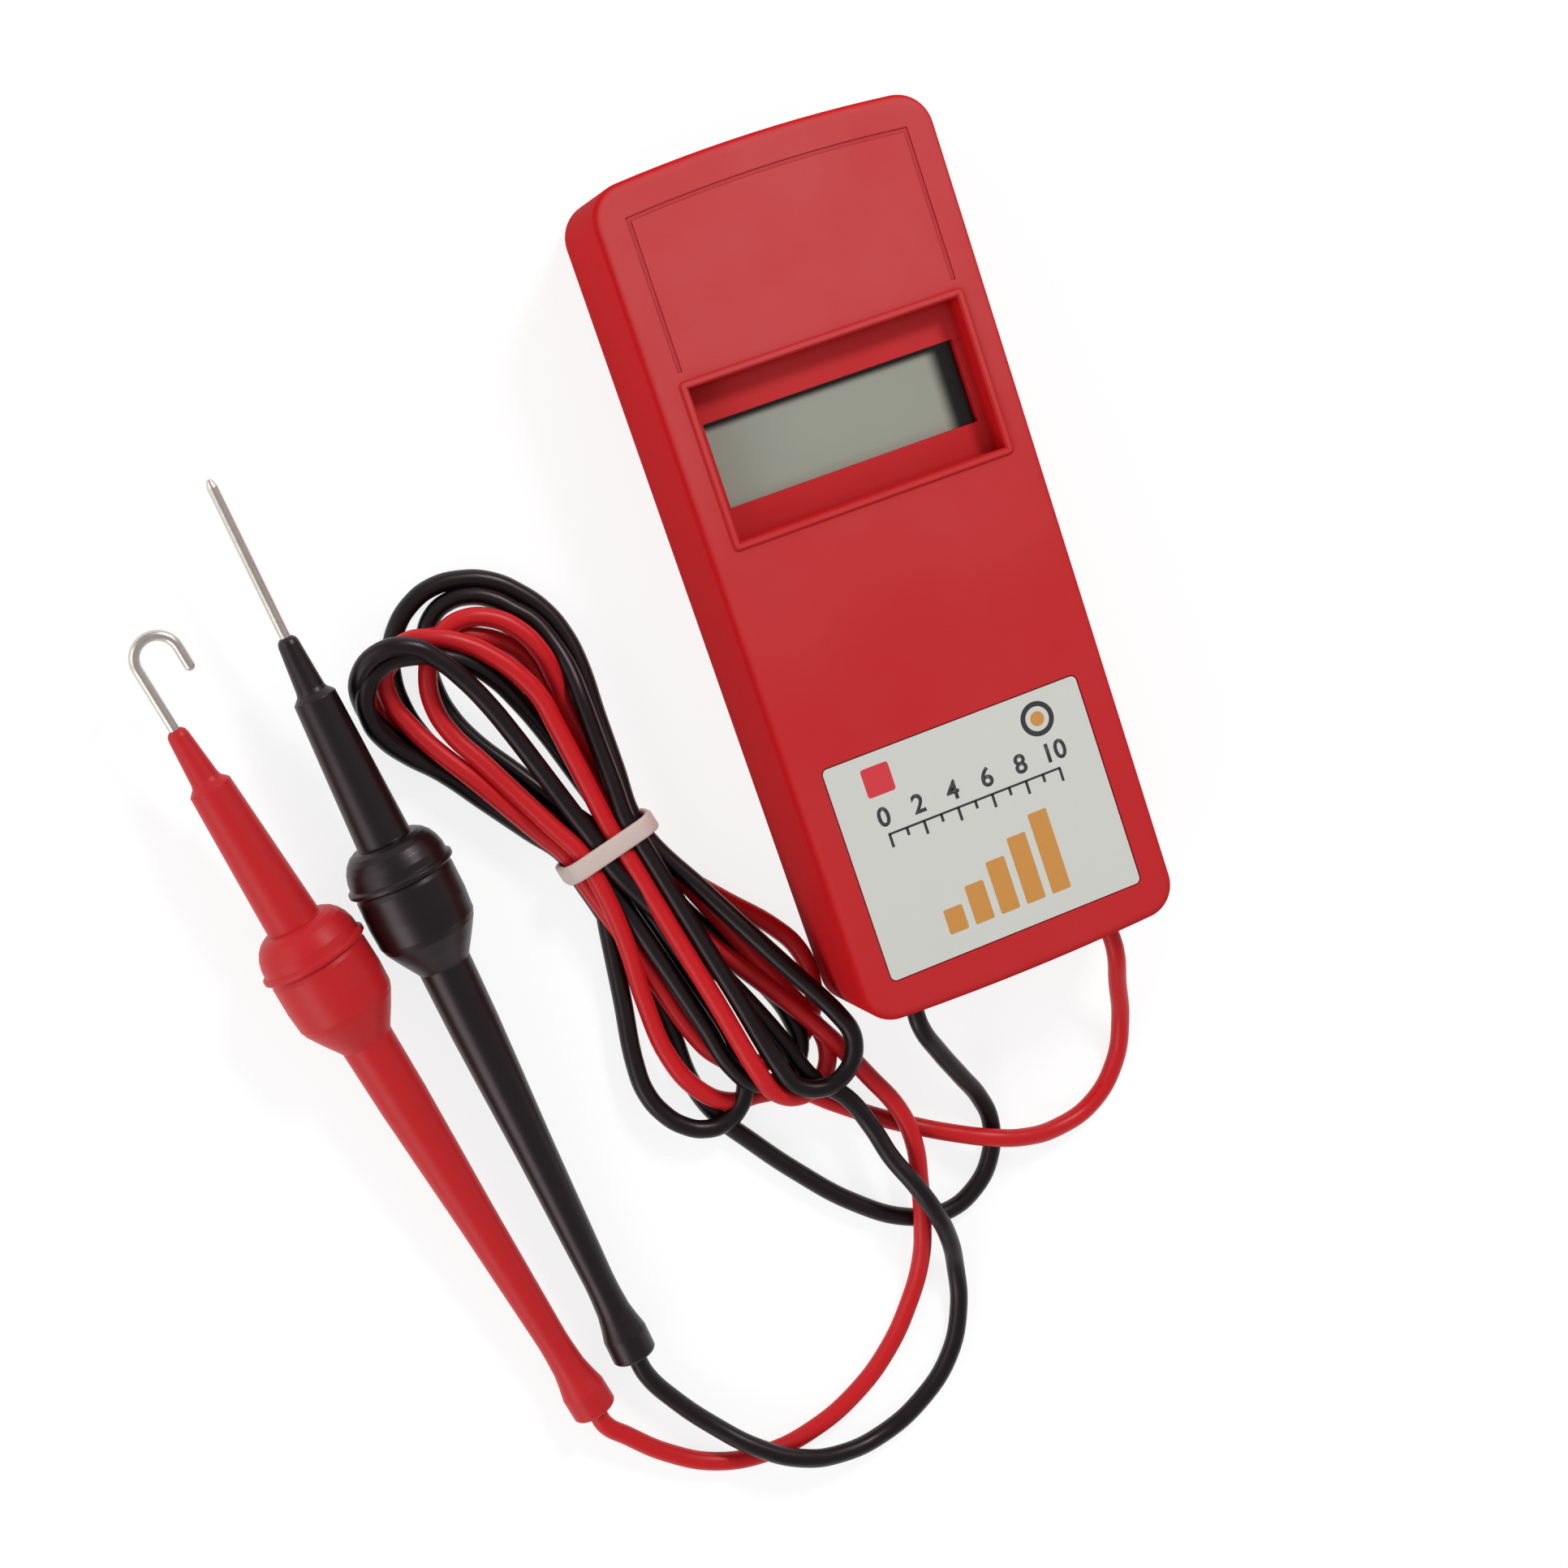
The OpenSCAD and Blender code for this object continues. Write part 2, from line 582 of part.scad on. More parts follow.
// Quarter ellipse from the lip in to the barrel
dome = [for (a = [0:15:90])
    [barrel_r + (lip_r - 0.6 - barrel_r) * cos(a), guard_end + dome_l * sin(a)]];
module barrel_shape() difference() {
    rotate_extrude() polygon(concat(
        [[0, handle_length - spigot_l], [spigot_r, handle_length - spigot_l], [spigot_r, handle_length],
            [lip_r - 0.5, handle_length], [lip_r, handle_length + 0.4], [lip_r, guard_end - 0.4],
            [lip_r - 0.5, guard_end]],
        dome,
        [[3.75, probe_length - nose_step - 0.4], [3.4, probe_length - nose_step],
            [2.7, probe_length - nose_step + 0.7], [2.5, probe_length - nose_step + 1.4],
            [nose_r, probe_length - 1.2], [nose_r - 0.2, probe_length - 0.5], [nose_r - 0.7, probe_length],
            [0, probe_length]]
    ));
    translate([0, 0, handle_length - spigot_l - 1])
        cylinder(h = probe_length - needle_root - handle_length + spigot_l + 1, r = 1.6);
    translate([0, 0, probe_length - needle_root - 1]) cylinder(h = needle_root + 2, r = wire_r + 0.02);
}
// Tapered handle: places are shares of the stretch between tail and guard
function along(s) = s * (handle_length - 17) / 80.4;
module handle_shape() difference() {
    rotate_extrude() polygon([
        [0, 0], [tail_r - 0.3, 0], [tail_r, 0.4], [tail_r, along(4.6)], [tail_r - 0.55, along(7)],
        [tail_r - 1, along(9.5)], [2.85, along(13)], [2.8, along(16)], [3, along(23)], [3.6, along(44)],
        [4.1, along(57)], [4.5, along(68)], [4.7, along(80.4)], [5.1, along(80.4) + 0.7],
        [6.8, along(80.4) + 3.4], [8.3, along(80.4) + 6], [8.75, along(80.4) + 7.2],
        [9, along(80.4) + 11], [8.9, handle_length - 1], [8.6, handle_length], [0, handle_length]
    ]);
    translate([0, 0, -1]) cylinder(h = resistor_from + 2, r = lead_r + 0.05);
    translate([0, 0, resistor_from]) cylinder(h = handle_length, r = 3);
    translate([0, 0, handle_length - spigot_l - 0.2]) cylinder(h = spigot_l + 1, r = spigot_r + 0.08);
}
module black_handle() color(black) lay_probe(black_tail, black_turn) handle_shape();
module red_handle() color(red) lay_probe(red_tail, red_turn) handle_shape();
module black_barrel() color(black) lay_probe(black_tail, black_turn) barrel_shape();
module red_barrel() color(red) lay_probe(red_tail, red_turn) barrel_shape();

module black_needle() color(steel) lay_probe(black_tail, black_turn)
    translate([0, 0, probe_length - needle_root]) {
        cylinder(h = needle_root + needle_length - 1.4, r = wire_r);
        translate([0, 0, needle_root + needle_length - 1.4]) cylinder(h = 1.1, r1 = wire_r, r2 = wire_r * 0.6);
        translate([0, 0, needle_root + needle_length - 0.6]) sphere(r = wire_r * 0.72);
    }
hook_shank = 11.6;
hook_tail = 3.6;
module red_hook() color(steel) lay_probe(red_tail, red_turn) translate([0, 0, probe_length - needle_root]) {
    cylinder(h = needle_root + hook_shank, r = wire_r);
    translate([0, 0, needle_root + hook_shank]) {
        translate([0, -hook_r, 0]) rotate([90, 0, 90])
            rotate_extrude(angle = 180) translate([hook_r, 0]) circle(r = wire_r);
        translate([0, -2 * hook_r, -hook_tail]) cylinder(h = hook_tail, r = wire_r);
        translate([0, -2 * hook_r, -hook_tail]) sphere(r = wire_r);
    }
}
// High-value resistor in each handle, its leads running to the wire and to the tip
module probe_resistors() color([0.55, 0.65, 0.75])
    for (p = [[black_tail, black_turn], [red_tail, red_turn]]) lay_probe(p[0], p[1]) {
        translate([0, 0, resistor_from + 1.5]) cylinder(h = 22, r = 2.8);
        translate([0, 0, resistor_from - 18])
            cylinder(h = probe_length - needle_root - resistor_from + 17.8, r = 0.45);
    }

// ======================= leads =======================

lead_sides = 8;
function unit(v) = v / norm(v);
function heading(path, i) = unit(path[min(i + 1, len(path) - 1)] - path[max(i - 1, 0)]);
function ring(centre, along_dir) =
    let (side = unit(cross(along_dir, [0, 0, 1])), up = cross(side, along_dir))
    [for (k = [0:lead_sides - 1]) let (a = 360 * k / lead_sides)
        centre + lead_r * (cos(a) * side + sin(a) * up)];
module tube(path) {
    n = len(path);
    s = lead_sides;
    polyhedron(
        points = [for (i = [0:n - 1]) each ring(path[i], heading(path, i))],
        faces = concat(
            [[for (k = [0:s - 1]) k]],
            [for (i = [0:n - 2], k = [0:s - 1])
                [i * s + k, (i + 1) * s + k, (i + 1) * s + (k + 1) % s, i * s + (k + 1) % s]],
            [[for (k = [s - 1:-1:0]) (n - 1) * s + k]]
        )
    );
}
module black_case_lead() color(black) tube(black_case_route);
module red_case_lead() color(red) tube(red_case_route);
module black_probe_lead() color(black) tube(black_probe_route);
module red_probe_lead() color(red) tube(red_probe_route);

// What the tie goes round, or the tie's outside when it is grown by tie_t
module waist_block(grow, width)
    translate([0, width / 2, (waist_low + waist_high) / 2]) rotate([90, 0, 0]) linear_extrude(width)
        round_rect(2 * (waist_r + grow), waist_high - waist_low + 2 * grow, waist_corner + grow);
// One side of the bow, a wedge that widens from the waist to its two ends [x, y, radius]
module bow_side(ends) hull() {
    translate([0, sign(ends[0][1]) * 6]) circle(waist_r, $fn = 32);
    for (e = ends) translate([e[0], e[1]]) circle(e[2], $fn = 32);
}
// The spare length of both leads, folded in one bow-shaped hank
module lead_hank() color([0.3, 0.1, 0.1])
    translate([hank_at[0], hank_at[1], 0]) rotate([0, 0, hank_turn]) difference() {
        linear_extrude(hank_h) {
            bow_side(far_ends);
            bow_side(near_ends);
            square([2 * waist_r, 12], center = true);
        }
        // the tie draws the strands together at the waist
        difference() {
            centred(60, tie_w, -1, hank_h + 1);
            waist_block(0, tie_w + 1);
        }
    }
module hank_tie() color([0.82, 0.75, 0.71])
    translate([hank_at[0], hank_at[1], 0]) rotate([0, 0, hank_turn]) difference() {
        waist_block(tie_t, tie_w - 0.1);
        waist_block(0, tie_w + 1);
    }

front_shell();
rear_cover();
battery_door();
door_pad();
battery();
battery_snap();
display_glass();
display_frame();
contact_strips();
main_board();
display_driver();
divider_resistors();
capacitors();
trimmer();
trimmer_rotor();
power_switch();
switch_slider();
face_label();
cover_screws();
board_screws();
lead_grommets();
inner_leads();
black_needle();
red_hook();
black_barrel();
red_barrel();
black_handle();
red_handle();
probe_resistors();
black_case_lead();
red_case_lead();
black_probe_lead();
red_probe_lead();
lead_hank();
hank_tie();
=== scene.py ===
# %% [markdown]
# # A fence voltmeter with two hard-wired probes
# The CAD part gives every size: a red two-piece case, two probes, and leads that run from the
# case's end through one tied hank to the probes. This lesson dresses it. Everything is in metres,
# in the part's own frame: +Y is the display end and +Z comes out of the face.

# %% Load the part
import json
from math import acos, atan2, copysign, cos, pi, radians, sin
import bpy
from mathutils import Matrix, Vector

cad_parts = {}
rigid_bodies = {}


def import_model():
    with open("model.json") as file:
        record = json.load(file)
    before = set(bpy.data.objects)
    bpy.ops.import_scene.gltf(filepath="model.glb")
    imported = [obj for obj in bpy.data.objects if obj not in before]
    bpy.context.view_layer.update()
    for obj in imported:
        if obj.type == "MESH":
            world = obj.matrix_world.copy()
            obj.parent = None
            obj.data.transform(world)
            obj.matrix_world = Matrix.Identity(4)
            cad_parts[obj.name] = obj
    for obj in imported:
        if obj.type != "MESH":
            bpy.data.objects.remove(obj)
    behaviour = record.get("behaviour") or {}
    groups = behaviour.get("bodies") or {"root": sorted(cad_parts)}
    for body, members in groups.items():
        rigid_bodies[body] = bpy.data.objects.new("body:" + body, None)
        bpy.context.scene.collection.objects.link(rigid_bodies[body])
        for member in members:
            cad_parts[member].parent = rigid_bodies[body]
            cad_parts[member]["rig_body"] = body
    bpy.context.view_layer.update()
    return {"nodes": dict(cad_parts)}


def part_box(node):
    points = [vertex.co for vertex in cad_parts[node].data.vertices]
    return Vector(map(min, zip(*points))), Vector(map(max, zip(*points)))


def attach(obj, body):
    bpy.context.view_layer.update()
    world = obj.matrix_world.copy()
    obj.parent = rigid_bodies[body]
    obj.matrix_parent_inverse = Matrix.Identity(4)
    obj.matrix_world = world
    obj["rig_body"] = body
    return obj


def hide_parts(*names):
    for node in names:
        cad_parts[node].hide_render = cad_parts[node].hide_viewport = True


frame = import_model()
mm = 0.001
shell_low, shell_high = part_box("front_shell")
face_z = shell_high.z
print("case", [round(v, 4) for v in shell_high - shell_low])

# %% [markdown]
# ## Camera
# A product picture is taken from a little above one corner with a moderately long lens, so that
# the case stays nearly rectangular. The camera is placed first because the leads have to lie
# inside what it sees.

# %% Camera
camera_data = bpy.data.cameras.new("studio_camera")
camera_data.lens = 60.55
camera = bpy.data.objects.new("studio_camera", camera_data)
camera.location = (-0.1307, 0.0408, 0.4596)
camera.rotation_euler = (radians(-4.213), radians(-15.117), radians(-19.314))
bpy.context.scene.collection.objects.link(camera)
bpy.context.scene.camera = camera
print("camera", [round(v, 3) for v in camera.location], "with a", camera_data.lens, "mm lens")

# %% [markdown]
# ## Leads
# Each lead is one length of soft PVC-covered wire. It leaves the case through a rubber bush, drops
# to the table, goes into the hank, and comes out towards its probe. The loose stretches are lists
# of points. A turn in the hank is a straight leg out from the tie, a bend, and a leg
# back. One open curve with a round bevel then has the real length and the real thickness.

# %% The loose stretches, in millimetres
lying = 1.7  # the height of a lead's middle where it lies on the table, which is its radius
lead_radius = lying * mm
black_from_case = [
    (-18.5, -77.5, 12), (-18.5, -81.5, 12), (-16, -88, 9), (-12.6, -95, 5.4), (-9.8, -101, 2.6),
    (-9, -106, lying), (-11, -112, lying), (-16, -117, lying), (-23, -119, lying),
    (-30, -117, lying), (-38.5, -110.5, lying), (-47, -100.5, lying), (-53, -92, lying),
    (-56.5, -86.5, lying),
]
red_from_case = [
    (21, -77.5, 12), (21, -82, 12), (20.7, -89, 8.4), (20.4, -97, 4.2), (17.4, -105, 1.9),
    (11, -110.5, lying), (2.5, -112, 3), (-5, -110.5, 5), (-11, -108, 5.4), (-17, -105, 3.8),
    (-23, -101.5, 1.9), (-30, -96.5, lying), (-36, -91.5, lying), (-42, -86.5, lying),
]
black_to_probe = [
    (-39.5, -84, 7.2), (-34.5, -90, 6.6), (-31.8, -97, 6.2), (-30.4, -103.5, 7.6),
    (-28.2, -109.5, 9), (-26.2, -116, 8.8), (-24.8, -122.5, 6.2), (-24.6, -129, 3),
    (-26.2, -137, lying), (-31, -145, lying), (-39, -150.8, lying), (-48, -153.8, lying),
    (-56.5, -153.3, 3.4), (-64, -150.3, 5.2), (-71, -145, 5.2), (-77, -138.3, 3.6),
    (-82, -131, 3.2), (-85.2, -124.5, 3.7), (-86, -120, 4.05),
]
red_to_probe = [
    (-33, -80, 6.4), (-29, -88.5, 5.6), (-25.8, -96, 5.4), (-25, -103, 5.4), (-26.4, -110.5, 5.4),
    (-28.4, -118, 5.4), (-30.6, -125.5, 3), (-35, -132.5, lying), (-41.5, -139, lying),
    (-50, -144.3, lying), (-59.5, -147.4, lying), (-69, -148, lying), (-78.5, -145.6, lying),
    (-86.5, -140, 2.2), (-92.3, -133.6, 3.2), (-95.2, -130, 3.8), (-96, -126.5, 4.05),
]

# %% [markdown]
# The hank has its own frame: u across it and v along it, with the tie at v = 0. Fourteen strands
# pass through the tie in three rows, and each is used once. Four turns at the near end are parts of
# ellipses, given as the side that the lead goes out on, the centre, the half sizes, and the height
# of the two sides. The other turns are pulled about more, so they are lists of points.

# %% The hank's strands
hank_centre = (-60.3, -31.6)
hank_angle = radians(13.4)
row_low, row_mid, row_top = 2.9, 5.5, 8.2
tie_half = 2.4  # a strand runs straight this far on each side of the tie's middle


def leg(strand, to):
    """From a strand's place in the tie, at (u, z), to the first point (u, v, z) of a turn."""
    start = copysign(tie_half, to[1])
    points = [(strand[0], start, strand[1])]
    for share in (0.3, 0.65):
        ease = share * share * (3 - 2 * share)
        points.append((
            strand[0] + (to[0] - strand[0]) * share,
            start + (to[1] - start) * share,
            strand[1] + (to[2] - strand[1]) * ease,
        ))
    return points


def join(enter, leave, turn):
    """Ties a turn's points to the two strands that it joins."""
    return leg(enter, turn[0]) + turn + list(reversed(leg(leave, turn[-1])))


def oval_turn(enter, leave, side, centre, across, along, heights, steps=9):
    """One turn that is part of an ellipse at the near end of the hank. It starts and ends where straight
    lines from its two strands touch the ellipse."""
    middle = -centre[1]
    past_the_foot = -pi / 2 - 0.3

    def touch(strand, on_side):
        x, y = (strand[0] - centre[0]) / across, -middle / along
        angle = atan2(y, x) + on_side * acos(1 / (x * x + y * y) ** 0.5)
        return angle + 2 * pi if angle < past_the_foot and on_side < 0 else angle

    first, last = touch(enter, side), touch(leave, -side)
    if side < 0 and first < last:
        first += 2 * pi
    if side > 0 and last < first:
        last += 2 * pi
    arc = []
    for k in range(steps + 1):
        share = k / steps
        angle = first + (last - first) * share
        height = heights[0] + (heights[1] - heights[0]) * share
        arc.append((centre[0] + across * cos(angle), -middle - along * sin(angle), height))
    return join(enter, leave, arc)


def out_of_hank(points):
    """Turns hank points into the part's frame, in millimetres."""
    c, s = cos(hank_angle), sin(hank_angle)
    x0, y0 = hank_centre
    return [(x0 + u * c - v * s, y0 + u * s + v * c, z) for u, v, z in points]


# %% Turns of the black lead
left, right = -1, 1  # the side that an elliptical turn goes out on
black_strands = [
    (-6.8, row_low), (3.4, row_low), (-3.3, row_mid), (6.7, row_mid), (5.1, row_top), (0, row_mid),
    (-3.4, row_low), (-1.6, row_top),
]
black_turns = [
    [
        (-16.8, 26.6, 3.4), (-20.4, 33, 5.6), (-22.2, 37.4, 7.4), (-22.6, 41.6, 9),
        (-20.5, 46.2, 9.8), (-15.6, 48.4, 10), (-10.6, 47, 10), (-6.6, 44.2, 9.7),
        (-3.2, 40.6, 8.9), (-0.8, 36, 7.6), (0.8, 30, 6), (2, 22, 4.6),
    ],
    [
        (5.4, -16, 2.2), (8.4, -28, lying), (10.8, -38, 1.8), (11.3, -45.6, 3), (9.4, -51, 4.6),
        (4.3, -53.2, 5.6), (-0.8, -51, 6.2), (-2.9, -45.8, 6.4), (-3, -37, 6.5), (-3.1, -26, 6.4),
        (-3.3, -14, 6),
    ],
    [
        (-14.8, 28, lying), (-16.2, 35, lying), (-16, 40.6, lying), (-14.8, 45, lying),
        (-12.6, 48.8, lying), (-9.6, 51.8, lying), (-5.4, 53.9, lying), (-0.6, 54.4, lying),
        (4.4, 52.8, lying), (8.6, 49.8, lying), (11.8, 45.2, lying), (13.8, 40.3, 1.8),
        (14.4, 35, 2.2), (13.8, 29.5, 2.8),
    ],
    (right, (11, -50.8), 7.2, 7.2, (10.8, 10.8)),
    [
        (10, 24.4, 7.2), (11.3, 30, 5.6), (11.6, 35, 4), (11, 40, 3.1), (9.2, 43.6, 2.8),
        (7, 47.2, 2.5), (4, 49.7, 2.2), (0.4, 50.8, 1.9), (-3.2, 50.2, lying), (-6.2, 47.8, lying),
        (-8.4, 43.8, lying), (-9.8, 39, lying), (-10.1, 34.5, 1.8), (-9.2, 28.6, 2.2),
    ],
    (right, (-8.8, -42), 9.2, 12.3, (4.4, 4)),
    [
        (-15.4, 27, 3), (-19.2, 33, 3.4), (-21.4, 38.8, 4.4), (-22, 44.2, 6.4), (-20, 49, 10),
        (-15, 50.8, 12.6), (-10.2, 48.6, 13.5), (-7.5, 44.2, 13), (-5.7, 39, 12.2),
        (-4.5, 33.4, 11.5), (-3.6, 26.2, 10.6),
    ],
]
black_in = [(-10, -46, 1.8), (-7.8, -34, 1.8), (-6.8, -22, 2), (-6.6, -10, 2.6), (-6.8, -tie_half, row_low)]
black_out = [(-1.6, -tie_half, row_top), (0.4, -12, 7.6), (3.4, -25, 6.8), (6, -38, 6.6), (7.4, -48, 6.9)]

# %% Turns of the red lead
red_strands = [
    (-4.9, row_top), (6.8, row_low), (1.8, row_top), (-6.7, row_mid), (3.3, row_mid), (0, row_low),
]
red_turns = [
    [
        (-10.4, 25, 7.6), (-12.1, 32, 7), (-12, 37.6, 6.7), (-10, 42.4, 6.5), (-6.9, 45.6, 6.3),
        (-3.2, 47.3, 6.3), (0.6, 47.2, 6.4), (4.4, 45, 6.4), (7.3, 41, 6.6), (8.7, 35.3, 6.5),
        (8.4, 29.8, 5.4), (7.6, 24, 4),
    ],
    (right, (7.3, -50), 7.2, 7.7, (3.6, 10.8)),
    [
        (3.6, 24, 9.6), (3.9, 29, 9.9), (3, 34, 10), (0.9, 39.3, 9.9), (-2, 43.8, 9.8),
        (-5.7, 47.3, 9.6), (-10.6, 49.5, 8.6), (-15.5, 47.4, 6.6), (-17.6, 42.4, 5.6),
        (-17.2, 37, 5.6), (-15.9, 31.4, 6), (-13.4, 23.9, 6.6),
    ],
    (left, (7.2, -37), 12.3, 13.5, (3.4, lying)),
    [
        (5.2, 26.4, 3), (6.4, 31, 2.6), (6.4, 35.4, 2.8), (4.4, 39.8, 3.6), (0.9, 43.4, 4.4),
        (-3.4, 46.4, 4.6), (-8.4, 48.2, 4.6), (-13.2, 47.8, 4), (-17.2, 45, 3), (-19.4, 41, 2.2),
        (-19.4, 36.4, 1.8), (-17, 30, 1.8),
    ],
]
red_in = [
    (-0.8, -54.4, 1.9), (-6.4, -51.6, 3.6), (-10, -46, 4.8), (-11.2, -38, 5.1), (-9.4, -27, 5.4),
    (-6.4, -15, 6.6), (-4.9, -tie_half, row_top),
]
red_out = [(0, -tie_half, row_low), (2, -12, 3.1), (6, -25, 3.8), (10.6, -38, 5), (13.6, -47, 5.8)]


# %% Lead curves
def hank_route(strands, turns, way_in, way_out):
    """All of one lead's points in the hank. A turn is a list of points, or what oval_turn takes."""
    points = list(way_in)
    for k, given in enumerate(turns):
        if isinstance(given, list):
            turn = join(strands[k], strands[k + 1], given)
        else:
            turn = oval_turn(strands[k], strands[k + 1], *given)
        points += turn[1:] if points[-1] == turn[0] else turn
    if points[-1] == way_out[0]:
        points.pop()
    return out_of_hank(points + list(way_out))


def lead_curve(name, route):
    """One open curve through the route's points, with the lead's round section.

    The section is one metre in radius and each knot scales it down, because a curve's box grows by its
    knots' radius.
    """
    data = bpy.data.curves.new(name, "CURVE")
    data.dimensions = "3D"
    data.bevel_depth = 1
    data.bevel_resolution = 4
    data.resolution_u = 6
    data.use_fill_caps = True
    spline = data.splines.new("BEZIER")
    spline.bezier_points.add(len(route) - 1)
    for knot, point in zip(spline.bezier_points, route):
        knot.co = [c * mm for c in point]
        knot.handle_left_type = knot.handle_right_type = "AUTO"
        knot.radius = lead_radius
    curve = bpy.data.objects.new(name, data)
    bpy.context.scene.collection.objects.link(curve)
    bpy.context.view_layer.update()
    length = spline.calc_length()
    print(name, len(route), "points,", round(length, 3), "m")
    return curve, length


black_in_hank = hank_route(black_strands, black_turns, black_in, black_out)
red_in_hank = hank_route(red_strands, red_turns, red_in, red_out)
black_lead, black_length = lead_curve("black_lead", black_from_case + black_in_hank + black_to_probe)
red_lead, red_length = lead_curve("red_lead", red_from_case + red_in_hank + red_to_probe)

# %% The CAD nodes that the leads stand for
for lead, colour in ((black_lead, "black"), (red_lead, "red")):
    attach(lead, "root")
    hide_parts(f"{colour}_case_lead", f"{colour}_probe_lead")
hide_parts("lead_hank")

# %% [markdown]
# ## Node helpers
# Every finish here is a small shader tree. One helper adds a node and sets or links its inputs, so
# that each material below reads as a list of what it does.

# %% Node helpers
def add_node(tree, kind, inputs=None, **settings):
    """Adds a node. inputs maps a socket's name or number to a value, or to the socket that feeds it."""
    node = tree.nodes.new(kind)
    for key, value in settings.items():
        setattr(node, key, value)
    for socket, value in (inputs or {}).items():
        if isinstance(value, bpy.types.NodeSocket):
            tree.links.new(value, node.inputs[socket])
        else:
            node.inputs[socket].default_value = value
    return node


def mix_colours(tree, mask, below, above):
    """The colour below where the mask is 0, and above where it is 1."""
    def rgba(colour):
        return colour if isinstance(colour, bpy.types.NodeSocket) else (*colour, 1)
    mix = add_node(tree, "ShaderNodeMix", {0: mask, 6: rgba(below), 7: rgba(above)}, data_type="RGBA")
    return mix.outputs[2]


def new_group(name, inputs, outputs):
    """An empty shader node group with its sockets. Returns its tree, its inputs and its output node."""
    tree = bpy.data.node_groups.new(name, "ShaderNodeTree")
    for label, kind, default in inputs:
        socket = tree.interface.new_socket(label, in_out="INPUT", socket_type=kind)
        socket.default_value = default
    for label, kind in outputs:
        tree.interface.new_socket(label, in_out="OUTPUT", socket_type=kind)
    return tree, tree.nodes.new("NodeGroupInput").outputs, tree.nodes.new("NodeGroupOutput")


NUMBER, COLOUR, VECTOR = "NodeSocketFloat", "NodeSocketColor", "NodeSocketVector"

# %% [markdown]
# ## What every moulded surface has
# No moulding is one flat colour. The pigment drifts a little over centimetres where the plastic
# flowed, the tool's spark-eroded skin leaves a grain of a few tenths of a millimetre, and the gloss
# changes with it. All of it could be painted, but a noise in the part's own millimetres
# never stretches or shows a seam, so this is one group that each plastic, rubber and film uses
# with its own amounts.

# %% Group: moulded skin
moulded_skin, given, result = new_group(
    "moulded skin",
    [
        ("Place", VECTOR, (0, 0, 0)), ("Colour", COLOUR, (0.5, 0.5, 0.5, 1)), ("Drift", NUMBER, 0.1),
        ("Grains per metre", NUMBER, 3000), ("Roughness", NUMBER, 0.5), ("Gloss swing", NUMBER, 0.1),
    ],
    [("Colour", COLOUR), ("Roughness", NUMBER), ("Height", NUMBER)],
)
flow = add_node(moulded_skin, "ShaderNodeTexNoise", {"Vector": given["Place"], "Scale": 28, "Detail": 3})
speckle = add_node(moulded_skin, "ShaderNodeTexNoise", {"Vector": given["Place"], "Scale": 700, "Detail": 2})
grain = add_node(moulded_skin, "ShaderNodeTexNoise", {
    "Vector": given["Place"], "Scale": given["Grains per metre"], "Detail": 2, "Roughness": 0.6,
})


def around_one(swing, noise):
    """1 plus the noise's distance from its middle, times the swing."""
    return add_node(moulded_skin, "ShaderNodeMath", {
        0: add_node(moulded_skin, "ShaderNodeMath", {0: noise, 1: 0.5}, operation="SUBTRACT").outputs[0],
        1: swing, 2: 1.0,
    }, operation="MULTIPLY_ADD").outputs[0]


drifted = add_node(moulded_skin, "ShaderNodeVectorMath", {
    0: given["Colour"], "Scale": around_one(given["Drift"], flow.outputs[0]),
}, operation="SCALE")
speckled = add_node(moulded_skin, "ShaderNodeVectorMath", {
    0: drifted.outputs[0],
    "Scale": around_one(add_node(
        moulded_skin, "ShaderNodeMath", {0: given["Drift"], 1: 0.5}, operation="MULTIPLY",
    ).outputs[0], speckle.outputs[0]),
}, operation="SCALE")
glossed = add_node(moulded_skin, "ShaderNodeMath", {
    0: given["Roughness"], 1: around_one(given["Gloss swing"], speckle.outputs[0]),
}, operation="MULTIPLY")
for label, source in (("Colour", speckled), ("Roughness", glossed), ("Height", grain)):
    moulded_skin.links.new(source.outputs[0], result.inputs[label])
print(moulded_skin.name, len(moulded_skin.nodes), "nodes")

# %% [markdown]
# ## Where one piece changes colour
# A battery's terminals, a snap's red and black wires and a display glass with its painted shadow and dark
# border are one CAD node each, but two finishes. Splitting the mesh is one way. Here a mask is read from the
# place on
# the piece: it rises from 0 to 1 between two positions along an axis.

# %% Group: border by place
border, given, result = new_group(
    "border by place",
    [("Place", VECTOR, (0, 0, 0)), ("From", NUMBER, 0.0), ("To", NUMBER, 0.001)],
    [("Along x", NUMBER), ("Along y", NUMBER), ("Along z", NUMBER)],
)
axes = add_node(border, "ShaderNodeSeparateXYZ", {0: given["Place"]})
for number, label in enumerate(("Along x", "Along y", "Along z")):
    rise = add_node(border, "ShaderNodeMapRange", {
        "Value": axes.outputs[number], "From Min": given["From"], "From Max": given["To"],
    }, interpolation_type="SMOOTHSTEP")
    border.links.new(rise.outputs[0], result.inputs[label])
print(border.name, len(border.nodes), "nodes")
